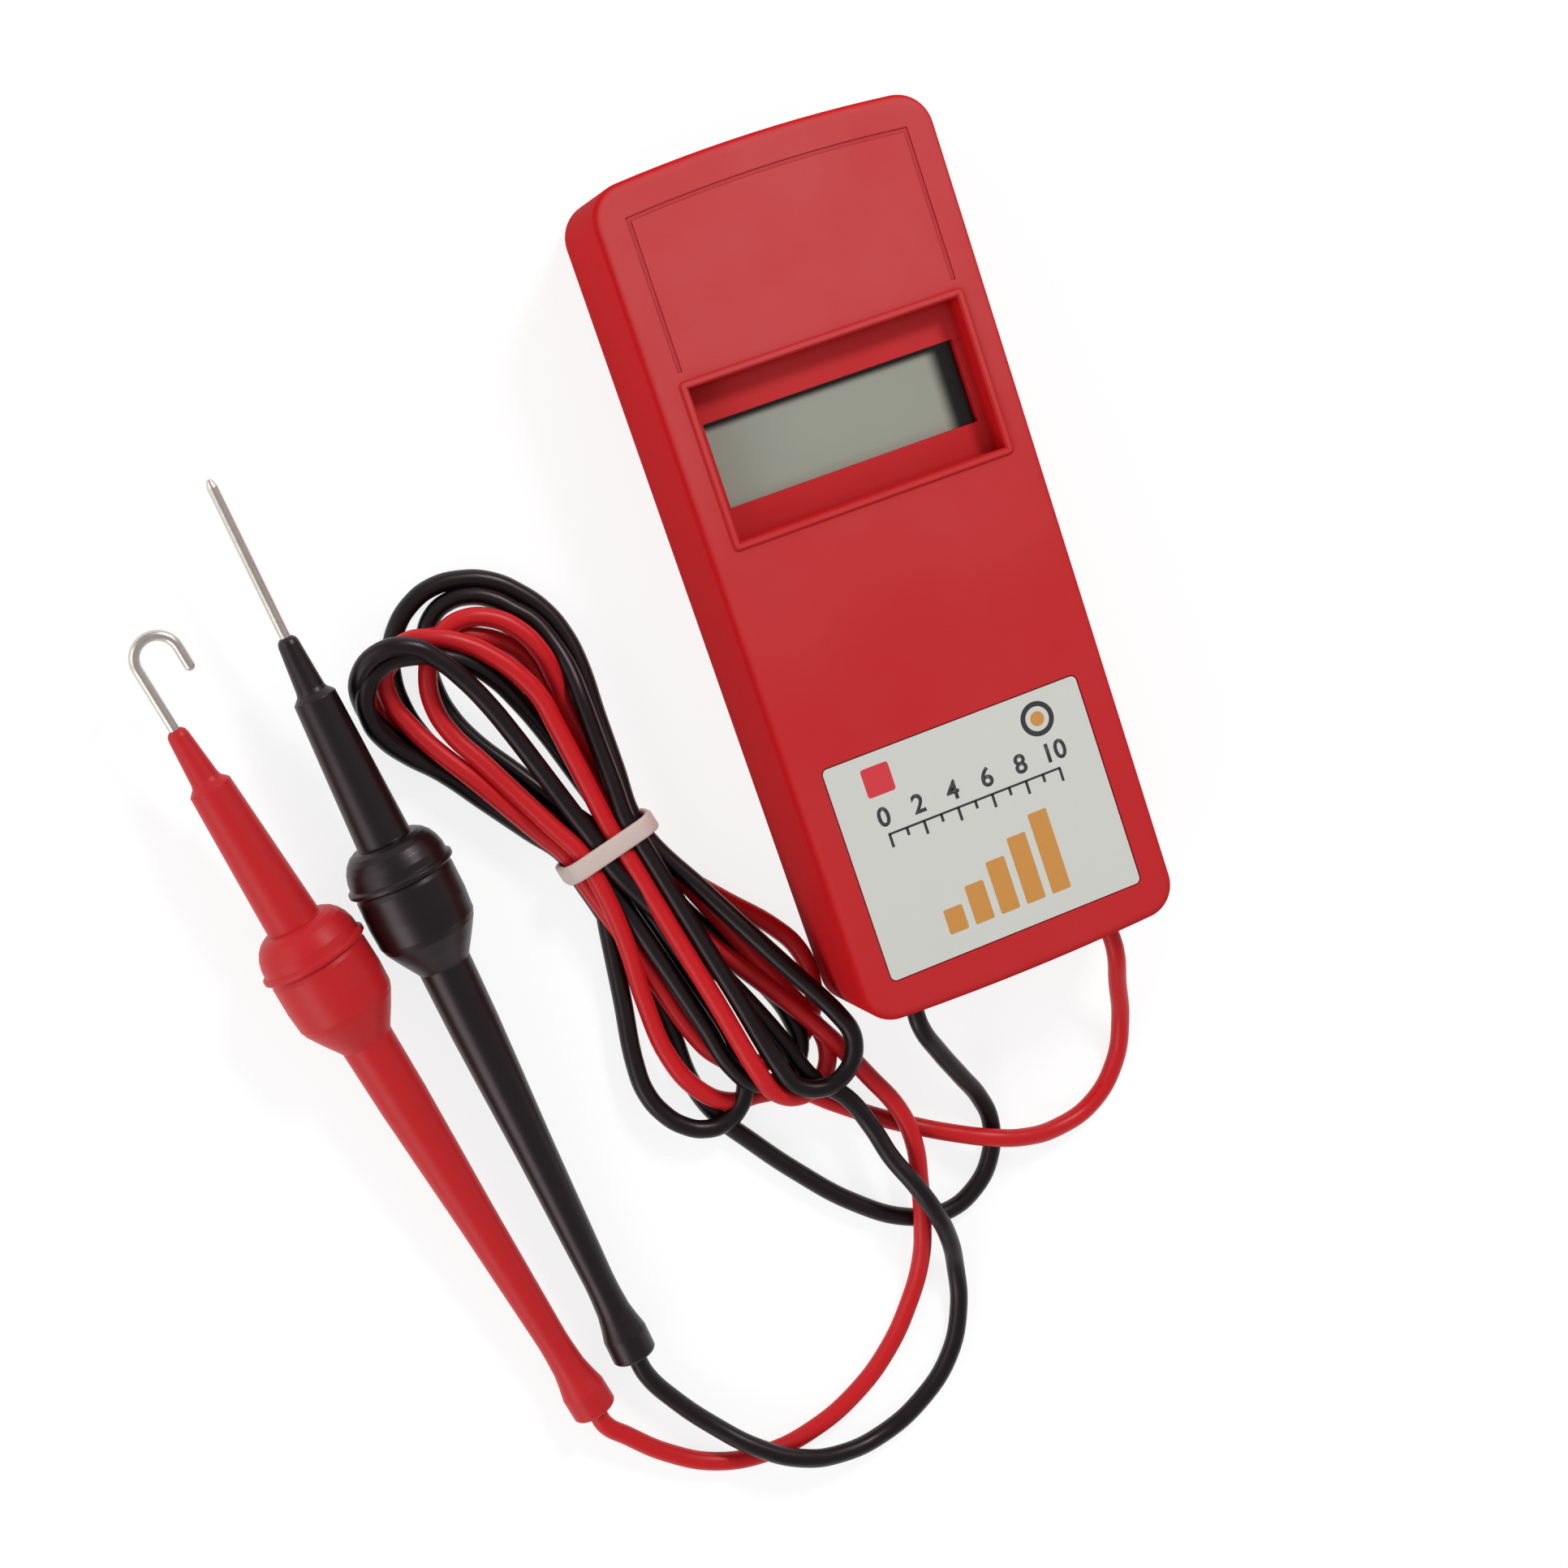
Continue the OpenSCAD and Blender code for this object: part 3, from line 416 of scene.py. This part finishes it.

# %% [markdown]
# ## Painted sheen
# The upward faces of the case get a faint pale wash that stands in for the soft sheen of the lamps,
# and more of it towards the display end. It is a mask, from the surface's own normal and its place on
# the case, that lets a pale colour through by a few hundredths. The floors of sunk places get less.

# %% Group: painted sheen
painted_sheen, given, result = new_group(
    "painted sheen",
    [
        ("Place", VECTOR, (0, 0, 0)), ("Colour", COLOUR, (0.5, 0.5, 0.5, 1)), ("Near end", NUMBER, 0.02),
        ("Far end", NUMBER, 0.06), ("Face height", NUMBER, 0.027),
    ],
    [("Colour", COLOUR)],
)
own_normal = add_node(painted_sheen, "ShaderNodeTexCoord").outputs["Normal"]
facing = add_node(painted_sheen, "ShaderNodeSeparateXYZ", {0: own_normal})
upward = add_node(painted_sheen, "ShaderNodeMapRange", {
    "Value": facing.outputs["Z"], "From Min": 0.55, "From Max": 0.98,
}, interpolation_type="SMOOTHSTEP")
along = add_node(painted_sheen, "ShaderNodeSeparateXYZ", {0: given["Place"]})
amount = add_node(painted_sheen, "ShaderNodeMapRange", {
    "Value": along.outputs["Y"], "From Min": -0.03, "From Max": 0.06,
    "To Min": given["Near end"], "To Max": given["Far end"],
}, interpolation_type="SMOOTHSTEP")
patches = add_node(painted_sheen, "ShaderNodeTexNoise", {"Vector": given["Place"], "Scale": 45, "Detail": 3})
uneven = add_node(painted_sheen, "ShaderNodeMapRange", {"Value": patches.outputs[0], "To Min": 0.6, "To Max": 1.4})
below_face = add_node(painted_sheen, "ShaderNodeMath", {
    0: given["Face height"], 1: along.outputs["Z"],
}, operation="SUBTRACT")
on_face = add_node(painted_sheen, "ShaderNodeMapRange", {
    "Value": below_face.outputs[0], "From Min": 0.001, "From Max": 0.003, "To Min": 1.0, "To Max": 0.45,
})
mask = upward.outputs[0]
for factor in (amount, uneven, on_face):
    mask = add_node(painted_sheen, "ShaderNodeMath", {0: mask, 1: factor.outputs[0]}, operation="MULTIPLY").outputs[0]
# The pale colour is painted sheen: it lightens the faces that turn up towards the lamps.
painted_sheen.links.new(mix_colours(painted_sheen, mask, given["Colour"], (0.9, 0.82, 0.82)), result.inputs["Colour"])
print(painted_sheen.name, len(painted_sheen.nodes), "nodes")

# %% [markdown]
# ## Painted shade in corners
# Grooves, seams and sunk corners are painted a deeper colour, as the shade that falls in them. A ray
# test of how shut in each point is finds them, and the noise breaks it up.

# %% Group: painted corner shade
painted_shade_group, given, result = new_group(
    "painted corner shade",
    [
        ("Place", VECTOR, (0, 0, 0)), ("Colour", COLOUR, (0.5, 0.5, 0.5, 1)),
        ("Shade colour", COLOUR, (0.1, 0.1, 0.1, 1)), ("Reach", NUMBER, 0.004), ("Amount", NUMBER, 0.7),
    ],
    [("Colour", COLOUR)],
)
shut_in = add_node(painted_shade_group, "ShaderNodeAmbientOcclusion", {"Distance": given["Reach"]}, samples=8)
closed = add_node(painted_shade_group, "ShaderNodeMapRange", {
    "Value": shut_in.outputs["AO"], "From Min": 0.95, "From Max": 0.35,
    "To Min": 0.0, "To Max": given["Amount"],
})
streaks = add_node(painted_shade_group, "ShaderNodeTexNoise", {"Vector": given["Place"], "Scale": 180, "Detail": 3})
broken = add_node(painted_shade_group, "ShaderNodeMapRange", {"Value": streaks.outputs[0], "To Min": 0.75, "To Max": 1.25})
mask = add_node(painted_shade_group, "ShaderNodeMath", {0: closed.outputs[0], 1: broken.outputs[0]}, operation="MULTIPLY")
# Shut-in places take the shade colour: painted shade in grooves, seams and sunk corners.
darkened_in_corners = mix_colours(painted_shade_group, mask.outputs[0], given["Colour"], given["Shade colour"])
painted_shade_group.links.new(darkened_in_corners, result.inputs["Colour"])
print(painted_shade_group.name, len(painted_shade_group.nodes), "nodes")

# %% [markdown]
# ## A finish from the groups
# The function builds one Principled material: its colour, roughness and fine bump come from the
# skin group, a second colour may take over past a border, and an edge radius lets the renderer
# round the corners that a moulding tool can't keep sharp. What is the same all over the piece, such
# as the specular level, goes straight on the shader.


# %% Build a finish
def place_mask(tree, place, axis, start, stop):
    """0 before start and 1 after stop, in millimetres along x, y or z."""
    mask = add_node(tree, "ShaderNodeGroup", node_tree=border)
    tree.links.new(place, mask.inputs["Place"])
    mask.inputs["From"].default_value = start * mm
    mask.inputs["To"].default_value = stop * mm
    return mask.outputs[f"Along {axis}"]


def finish(name, colour, drift=0.1, grains=3000, depth=0.01, roughness=0.5, swing=0.15, edge=0,
           past=None, sheen_amounts=None, shade_in_corners=None, **shader):
    """A moulded finish. depth and edge are in millimetres, past is (axis, from, to, colour), sheen_amounts
    gives the painted sheen at the near and far end, and shade_in_corners is (colour, reach in millimetres,
    amount) for painted shade in corners. What follows them sets the shader's own sockets, with _ for each
    space in their names."""
    material = bpy.data.materials.new(name)
    material.use_nodes = True
    tree = material.node_tree
    surface = tree.nodes["Principled BSDF"]
    place = add_node(tree, "ShaderNodeTexCoord").outputs["Object"]
    skin = add_node(tree, "ShaderNodeGroup", node_tree=moulded_skin)
    tree.links.new(place, skin.inputs["Place"])
    skin.inputs["Colour"].default_value = (*colour, 1)
    if past:
        axis, start, stop, other = past
        mask = place_mask(tree, place, axis, start, stop)
        tree.links.new(mix_colours(tree, mask, colour, other), skin.inputs["Colour"])
    amounts = {"Drift": drift, "Grains per metre": grains, "Roughness": roughness, "Gloss swing": swing}
    for label, value in amounts.items():
        skin.inputs[label].default_value = value
    shade = skin.outputs["Colour"]
    if sheen_amounts:
        sheen_node = add_node(tree, "ShaderNodeGroup", node_tree=painted_sheen)
        tree.links.new(place, sheen_node.inputs["Place"])
        tree.links.new(shade, sheen_node.inputs["Colour"])
        sheen_node.inputs["Near end"].default_value, sheen_node.inputs["Far end"].default_value = sheen_amounts
        sheen_node.inputs["Face height"].default_value = face_z
        shade = sheen_node.outputs["Colour"]
    if shade_in_corners:
        shade_in_corners_colour, reach, amount = shade_in_corners
        corners = add_node(tree, "ShaderNodeGroup", node_tree=painted_shade_group)
        tree.links.new(place, corners.inputs["Place"])
        tree.links.new(shade, corners.inputs["Colour"])
        corners.inputs["Shade colour"].default_value = (*shade_in_corners_colour, 1)
        corners.inputs["Reach"].default_value = reach * mm
        corners.inputs["Amount"].default_value = amount
        shade = corners.outputs["Colour"]
    tree.links.new(shade, surface.inputs["Base Color"])
    tree.links.new(skin.outputs["Roughness"], surface.inputs["Roughness"])
    bump = add_node(tree, "ShaderNodeBump", {
        "Strength": 1.0, "Distance": depth * mm, "Height": skin.outputs["Height"],
    })
    if edge:
        rounded = add_node(tree, "ShaderNodeBevel", {"Radius": edge * mm}, samples=6)
        tree.links.new(rounded.outputs[0], bump.inputs["Normal"])
    tree.links.new(bump.outputs[0], surface.inputs["Normal"])
    for socket, value in shader.items():
        surface.inputs[socket.replace("_", " ")].default_value = value
    return material


# %% [markdown]
# ## The plastics
# The case is red ABS with a fine matt grain. Its probes and wire jackets are softer, smoother
# and a little brighter, and the black ones are the same compounds with carbon in them. The black
# ones get a reddish specular tint.

# %% Plastics and rubbers
# The case red carries painted sheen on its upward faces and painted shade in its corners and grooves.
case_red = finish(
    "case red", (0.5, 0.009, 0.012), drift=0.06, grains=2600, depth=0.012, roughness=0.62, edge=0.35,
    sheen_amounts=(0.024, 0.07), shade_in_corners=((0.36, 0.004, 0.006), 1.6, 0.8), IOR=1.08,
)
probe_red = finish(
    "probe red", (0.5, 0.012, 0.016), drift=0.06, grains=1500, depth=0.006, roughness=0.42, edge=0.3,
    Specular_IOR_Level=0.25,
)
probe_black = finish(
    "probe black", (0.003, 0.002, 0.0025), drift=0.2, grains=1500, depth=0.006, roughness=0.36, edge=0.3,
    Specular_IOR_Level=0.45, Specular_Tint=(1, 0.82, 0.86, 1),
)
lead_red = finish(
    "lead red", (0.55, 0.009, 0.013), drift=0.08, grains=1200, depth=0.005, roughness=0.38,
    Specular_IOR_Level=0.25,
)
lead_black = finish(
    "lead black", (0.004, 0.0025, 0.003), drift=0.2, grains=1200, depth=0.005, roughness=0.36,
    Specular_IOR_Level=0.35, Specular_Tint=(1, 0.82, 0.86, 1),
)
bush_black = finish("bush black", (0.02, 0.02, 0.02), drift=0.2, grains=2000, roughness=0.55)
tie_white = finish(
    "tie white", (0.6, 0.49, 0.45), drift=0.08, grains=900, depth=0.02, roughness=0.55,
    Subsurface_Weight=0.15, Subsurface_Scale=0.001,
)
knob_black = finish("knob black", (0.025, 0.025, 0.027), drift=0.2, grains=2500)
pad_foam = finish("pad foam", (0.05, 0.05, 0.055), drift=0.5, grains=1600, depth=0.12, roughness=0.95)
print(len(bpy.data.materials), "materials")

# %% [markdown]
# ## Metal
# The needle and the hook are bent from nickel-plated wire that was drawn through a die, which
# leaves fine lines along it. Screws and switch cans are zinc plated, a duller grey. A noise
# stretched along the wire would need the wire's own direction, so the lines here are a plain
# fine-grained swing in gloss, which at this size looks the same.

# %% Metals
wire_nickel = finish(
    "wire nickel", (0.64, 0.59, 0.54), drift=0.15, grains=5000, depth=0.004, roughness=0.28,
    swing=0.5, Metallic=1.0,
)
screw_zinc = finish(
    "screw zinc", (0.5, 0.5, 0.49), drift=0.25, grains=4000, depth=0.006, roughness=0.38,
    swing=0.4, edge=0.1, Metallic=1.0,
)
print(wire_nickel.name, "and", screw_zinc.name)

# %% [markdown]
# ## Inside the case
# The board, its parts and the battery show when the door is open or the part is taken to pieces.
# Their finishes are simple but real: green solder mask, printed capacitors, blue film resistors
# with their lacquer, the battery's printed wrapper with its bare terminals.

# %% Finishes inside the case
terminals_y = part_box("battery")[1].y / mm - 1.9
red_wire_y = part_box("battery_snap")[0].y / mm + 2.0
film_blue = (0.16, 0.3, 0.45)
near_black = (0.02, 0.02, 0.022)
inside = {
    "main_board": finish(
        "solder mask", (0.012, 0.11, 0.04), drift=0.5, grains=1800, depth=0.02, roughness=0.3,
        Coat_Weight=0.3, Coat_Roughness=0.15,
    ),
    "display_driver": finish("driver moulding", near_black, drift=0.3, depth=0.012, roughness=0.6),
    "divider_resistors": finish("resistor lacquer", film_blue, drift=0.35, roughness=0.35),
    "probe_resistors": finish("probe resistor lacquer", film_blue, drift=0.35, roughness=0.35),
    "capacitors": finish("capacitor lacquer", (0.5, 0.06, 0.02), drift=0.3, roughness=0.3),
    "trimmer": finish(
        "trimmer body", (0.02, 0.06, 0.35), drift=0.2, depth=0.008, roughness=0.35, edge=0.15,
    ),
    "trimmer_rotor": finish("trimmer rotor", (0.78, 0.78, 0.74), depth=0.006, roughness=0.4, edge=0.1),
    "power_switch": screw_zinc,
    "switch_slider": knob_black,
    "display_frame": finish("display frame", near_black, drift=0.2, roughness=0.55),
    "contact_strips": finish(
        "contact strips", (0.55, 0.25, 0.3), drift=0.4, grains=5000, depth=0.02, roughness=0.7,
    ),
    "battery": finish(
        "battery wrapper", (0.03, 0.04, 0.07), drift=0.2, depth=0.004, roughness=0.25,
        past=("y", terminals_y - 0.1, terminals_y, (0.55, 0.54, 0.5)), Coat_Weight=0.4,
    ),
    "battery_snap": finish(
        "snap and its wires", near_black, drift=0.2,
        past=("y", red_wire_y, red_wire_y + 0.1, (0.45, 0.02, 0.02)),
    ),
    "door_pad": pad_foam,
    "inner_leads": finish(
        "inner leads", (0.014, 0.014, 0.015), depth=0.005, roughness=0.4,
        past=("x", -1, 1, (0.5, 0.014, 0.02)),
    ),
    "lead_grommets": bush_black,
    "cover_screws": screw_zinc,
    "board_screws": screw_zinc,
}


def dress(node, material):
    """Gives a CAD node's own object a better material."""
    for place in frame["nodes"][node].material_slots:
        place.material = material


for node, material in inside.items():
    dress(node, material)
print(len(inside), "nodes dressed")

# %% [markdown]
# ## Display glass
# A reflective display is a grey-green field behind glass. Along its right and top edges a black band is
# painted: the shadow that the window's walls cast on the glass, over the dark border seen under them.
# The glass is the CAD node, and its material places the band in the part's own millimetres.

# %% Display glass
display = bpy.data.materials.new("display glass")
display.use_nodes = True
tree = display.node_tree
surface = tree.nodes["Principled BSDF"]
place = add_node(tree, "ShaderNodeTexCoord").outputs["Object"]
cells = add_node(tree, "ShaderNodeTexNoise", {"Vector": place, "Scale": 60, "Detail": 2})
field = mix_colours(tree, cells.outputs[0], (0.3, 0.32, 0.268), (0.325, 0.345, 0.29))
border_and_shadow_ink = (0.012, 0.01, 0.01)
shade = field
# The bands at the right and top edges are painted shadow of the window's walls, over the dark border seen
# under them.
for axis, start, stop in (("x", 17.9, 20.9), ("y", 31.3, 32.2)):
    shade = mix_colours(tree, place_mask(tree, place, axis, start, stop), shade, border_and_shadow_ink)
tree.links.new(shade, surface.inputs["Base Color"])
smears = add_node(tree, "ShaderNodeTexNoise", {"Vector": place, "Scale": 130, "Detail": 3})
wiped = add_node(tree, "ShaderNodeMapRange", {"Value": smears.outputs[0], "To Min": 0.16, "To Max": 0.24})
tree.links.new(wiped.outputs[0], surface.inputs["Roughness"])
surface.inputs["Specular IOR Level"].default_value = 0.35
dress("display_glass", display)
print(display.name, len(tree.nodes), "nodes")

# %% [markdown]
# ## Mouldings with smooth skins
# The CAD meshes are loose triangles, so light breaks at the facets of a large moulding. A copy of
# each of the case's three mouldings is merged, its flat regions are dissolved to single faces, and
# it is shaded smooth up to an angle. Normals weighted by face area then keep the large faces flat
# right up to the small facets of a rounding. The probes are turned shapes with even facets, so they
# keep their CAD meshes and only get a finish.


# %% Copy and smooth a CAD moulding
def select_only(piece):
    bpy.ops.object.select_all(action="DESELECT")
    piece.select_set(True)
    bpy.context.view_layer.objects.active = piece


def apply_modifier(piece, kind, **settings):
    modifier = piece.modifiers.new(kind.lower(), kind)
    for key, value in settings.items():
        setattr(modifier, key, value)
    bpy.ops.object.modifier_apply(modifier=modifier.name)


def merged_copy(node, name, material):
    """A copy of a CAD node's mesh with its corners merged and its flat regions dissolved."""
    copy = bpy.data.objects.new(name, frame["nodes"][node].data.copy())
    bpy.context.scene.collection.objects.link(copy)
    copy.data.materials.clear()
    copy.data.materials.append(material)
    select_only(copy)
    if copy.data.has_custom_normals:
        bpy.ops.mesh.customdata_custom_splitnormals_clear()
    bpy.ops.object.mode_set(mode="EDIT")
    bpy.ops.mesh.select_all(action="SELECT")
    bpy.ops.mesh.remove_doubles(threshold=0.002 * mm)
    bpy.ops.mesh.dissolve_limited(angle_limit=radians(0.3))
    bpy.ops.object.mode_set(mode="OBJECT")
    return copy


def smooth_copy(node, name, material):
    """A merged and smoothly shaded copy that stands for the CAD node."""
    copy = merged_copy(node, name, material)
    bpy.ops.object.shade_smooth_by_angle(angle=radians(32))
    apply_modifier(copy, "WEIGHTED_NORMAL", keep_sharp=True, weight=60)
    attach(copy, frame["nodes"][node]["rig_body"])
    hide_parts(node)
    print(name, len(copy.data.polygons), "faces")


# %% The case and the probes
smooth_copy("front_shell", "case_front", case_red)
smooth_copy("rear_cover", "case_back", case_red)
smooth_copy("battery_door", "battery_hatch", case_red)
for colour, material, tip in (("black", probe_black, "black_needle"), ("red", probe_red, "red_hook")):
    dress(f"{colour}_handle", material)
    dress(f"{colour}_barrel", material)
    dress(tip, wire_nickel)
black_lead.data.materials.append(lead_black)
red_lead.data.materials.append(lead_red)

# %% [markdown]
# ## The tie
# The hank is held by a soft white band, closed to a flat loop. Its CAD solid has the right size but
# square edges, so a copy gets them rounded: a bevel of three steps, then smooth shading.

# %% Tie
tie = merged_copy("hank_tie", "lead_tie", tie_white)
apply_modifier(tie, "BEVEL", width=0.5 * mm, segments=3, limit_method="ANGLE", angle_limit=radians(60))
bpy.ops.object.shade_smooth_by_angle(angle=radians(40))
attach(tie, "root")
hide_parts("hank_tie")
print("tie", [round(v / mm, 1) for v in tie.dimensions])

# %% [markdown]
# ## The leads' lengths
# Each lead's length is the length of its curve, which is the lead's real length.

# %% The leads' lengths
print("leads", round(black_length, 3), "m and", round(red_length, 3), "m")

# %% [markdown]
# ## Face label
# The label is a printed film that lies in its shallow place on the face. The film is the CAD node:
# a pale grey with a faint satin texture. What is printed on it here is generic: a scale with
# its numbers, five rising bars, a square and a ring. Each ink is a very thin solid, so that it
# catches light like screen print. Flat shapes start as a plane or a circle, get their corners
# rounded in edit mode and are extruded by the thickness of the ink.

# %% Film and inks
label_low, label_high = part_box("face_label")
label_x = (label_low.x + label_high.x) / 2
label_y = (label_low.y + label_high.y) / 2
ink_z = label_high.z - 0.005 * mm
ink_t = 0.03 * mm
dress("face_label", finish(
    "label film", (0.62, 0.62, 0.585), drift=0.03, grains=2200, depth=0.006, roughness=0.4,
    swing=0.2, Specular_IOR_Level=0.35,
))
ink_dark = finish("ink dark", (0.03, 0.028, 0.032), drift=0.3, depth=0.003, roughness=0.45)
ink_red = finish("ink red", (0.62, 0.035, 0.045), drift=0.08, depth=0.003, roughness=0.45)
ink_orange = finish("ink orange", (0.58, 0.26, 0.055), drift=0.12, depth=0.003, roughness=0.45)


def extrude_ink(piece):
    """Turns the active flat shape into a thin closed layer of ink."""
    bpy.ops.object.mode_set(mode="EDIT")
    bpy.ops.mesh.select_all(action="SELECT")
    bpy.ops.mesh.extrude_region_move(TRANSFORM_OT_translate={"value": (0, 0, ink_t)})
    bpy.ops.mesh.select_all(action="SELECT")
    bpy.ops.mesh.normals_make_consistent(inside=False)
    bpy.ops.object.mode_set(mode="OBJECT")
    bpy.ops.object.transform_apply(location=True, rotation=True, scale=True)
    return piece


def on_label(x, y):
    """The underside of the ink at a place given in millimetres from the middle of the label."""
    return (label_x + x * mm, label_y + y * mm, ink_z)


def ink_block(x, y, width, height, corner=0.0):
    """A printed rectangle."""
    bpy.ops.object.select_all(action="DESELECT")
    bpy.ops.mesh.primitive_plane_add(size=1, location=on_label(x, y))
    piece = bpy.context.active_object
    piece.scale = (width * mm, height * mm, 1)
    bpy.ops.object.transform_apply(location=False, rotation=False, scale=True)
    if corner:
        bpy.ops.object.mode_set(mode="EDIT")
        bpy.ops.mesh.select_all(action="SELECT")
        bpy.ops.mesh.bevel(offset=corner * mm, segments=4, affect="VERTICES")
        bpy.ops.object.mode_set(mode="OBJECT")
    return extrude_ink(piece)


def ink_ring(x, y, outer, inner=0.0):
    """A printed ring, or a disc where inner is 0."""
    bpy.ops.object.select_all(action="DESELECT")
    bpy.ops.mesh.primitive_circle_add(
        vertices=48, radius=outer * mm, fill_type="NGON", location=on_label(x, y),
    )
    piece = bpy.context.active_object
    if inner:
        bpy.ops.object.mode_set(mode="EDIT")
        bpy.ops.mesh.select_all(action="SELECT")
        bpy.ops.mesh.inset(thickness=(outer - inner) * mm)
        bpy.ops.mesh.delete(type="FACE")
        bpy.ops.object.mode_set(mode="OBJECT")
    return extrude_ink(piece)


digit_share = 0.7  # a digit's height as a share of the font's size
bolder = 0.03  # how far each outline grows, as a share of the height


def ink_number(text, x, y, height):
    """A printed number, centred on its place."""
    bpy.ops.object.select_all(action="DESELECT")
    bpy.ops.object.text_add()
    piece = bpy.context.active_object
    piece.data.body = text
    piece.data.size = height * mm / digit_share
    piece.data.offset = bolder * height * mm
    piece.data.align_x = "CENTER"
    bpy.ops.object.convert(target="MESH")
    piece = bpy.context.active_object
    piece.location = on_label(x, y)
    bpy.ops.object.transform_apply(location=True, rotation=True, scale=True)
    return extrude_ink(piece)


def one_ink(name, pieces, material):
    """Joins what is printed in one colour."""
    bpy.ops.object.select_all(action="DESELECT")
    for piece in pieces:
        piece.select_set(True)
    bpy.context.view_layer.objects.active = pieces[0]
    bpy.ops.object.join()
    print_layer = bpy.context.active_object
    print_layer.name = print_layer.data.name = name
    print_layer.data.materials.clear()
    print_layer.data.materials.append(material)
    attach(print_layer, "root")
    print(name, len(print_layer.data.polygons), "faces")


# %% Print the label
scale_half, scale_y, line, numbers_y, number_height = 16.5, 5, 0.4, 6.6, 3.3
dark = [ink_block(0, scale_y, 2 * scale_half + line, line)]
for k in range(11):
    x = -scale_half + 2 * scale_half * k / 10
    tick = 1.4 if k % 2 else 2.4
    dark.append(ink_block(x, scale_y - tick / 2, 0.5, tick))
    if k % 2 == 0:
        dark.append(ink_number(str(k), x, numbers_y, number_height))
corner_x, corner_y = 15.4, 14.6
dark.append(ink_ring(corner_x, corner_y, 3.1, 2.2))
one_ink("label_print_dark", dark, ink_dark)
bars_foot = -15.6
orange = []
for k in range(5):
    bar = 4.5 + 2.6 * k
    orange.append(ink_block(-10 + 5 * k, bars_foot + bar / 2, 3.6, bar, 0.3))
orange.append(ink_ring(corner_x, corner_y, 1.3))
one_ink("label_print_orange", orange, ink_orange)
one_ink("label_print_red", [ink_block(-corner_x, corner_y, 5.2, 5.2, 0.5)], ink_red)

# %% [markdown]
# ## Floor, world and lamps
# The part lies on a plain pale floor in an evenly lit room. The floor shows white to the camera
# and in reflections, and keeps a faint shadow. What it throws back on the part is the light
# of a real pale floor. The room is brighter low down, as by white walls. A soft key stands high on
# the right beyond the display end, and a weak fill on the left opens the shaded wall.

# %% Floor
bpy.ops.object.select_all(action="DESELECT")
bpy.ops.mesh.primitive_plane_add(size=6, location=(0, 0, 0))
floor = bpy.context.active_object
floor.name = "floor"


def seen_directly(tree):
    """1 for camera rays, and for rays that a gloss or a glass sends on."""
    path = add_node(tree, "ShaderNodeLightPath").outputs
    seen = path["Is Camera Ray"]
    for ray in ("Is Glossy Ray", "Is Transmission Ray"):
        seen = add_node(tree, "ShaderNodeMath", {0: seen, 1: path[ray]}, operation="MAXIMUM").outputs[0]
    return seen


floor_paint = bpy.data.materials.new("floor paint")
floor_paint.use_nodes = True
tree = floor_paint.node_tree
tree.nodes.remove(tree.nodes["Principled BSDF"])
lit = add_node(tree, "ShaderNodeBsdfDiffuse", {"Color": (0.78, 0.78, 0.78, 1)})
faint = add_node(tree, "ShaderNodeBsdfDiffuse", {"Color": (0.22, 0.22, 0.22, 1)})
glow = add_node(tree, "ShaderNodeEmission", {"Color": (1, 1, 1, 1), "Strength": 0.82})
shown = add_node(tree, "ShaderNodeAddShader", {0: faint.outputs[0], 1: glow.outputs[0]})
either = add_node(tree, "ShaderNodeMixShader", {
    0: seen_directly(tree), 1: lit.outputs[0], 2: shown.outputs[0],
})
tree.links.new(either.outputs[0], tree.nodes["Material Output"].inputs["Surface"])
floor.data.materials.append(floor_paint)
print(floor.name, [round(v, 1) for v in floor.dimensions])

# %% World and lamps
world = bpy.data.worlds.new("studio")
bpy.context.scene.world = world
world.use_nodes = True
tree = world.node_tree
direction = add_node(tree, "ShaderNodeTexCoord").outputs["Generated"]
steepness = add_node(tree, "ShaderNodeSeparateXYZ", {0: direction}).outputs["Z"]
strength = add_node(tree, "ShaderNodeMapRange", {
    "Value": steepness, "From Min": 0.1, "From Max": 0.45, "To Min": 1.0, "To Max": 0.42,
}, interpolation_type="SMOOTHSTEP")
tree.links.new(strength.outputs[0], tree.nodes["Background"].inputs["Strength"])
tree.nodes["Background"].inputs["Color"].default_value = (1, 1, 1, 1)


def add_softbox(name, place, size, energy):
    """A square lamp that faces the part."""
    data = bpy.data.lights.new(name, "AREA")
    data.size = size
    data.energy = energy
    lamp = bpy.data.objects.new(name, data)
    lamp.location = place
    lamp.rotation_euler = (-lamp.location).to_track_quat("-Z", "Y").to_euler()
    bpy.context.scene.collection.objects.link(lamp)
    print(name, energy, "W,", size, "m across")


add_softbox("key", (0.5, 0.58, 0.72), 0.22, 5.9)
add_softbox("low_fill", (-0.82, -0.44, 0.46), 0.5, 2.5)
add_softbox("high_fill", (-0.8, 0.25, 0.5), 0.6, 1.7)
bpy.context.scene.view_settings.view_transform = "Standard"
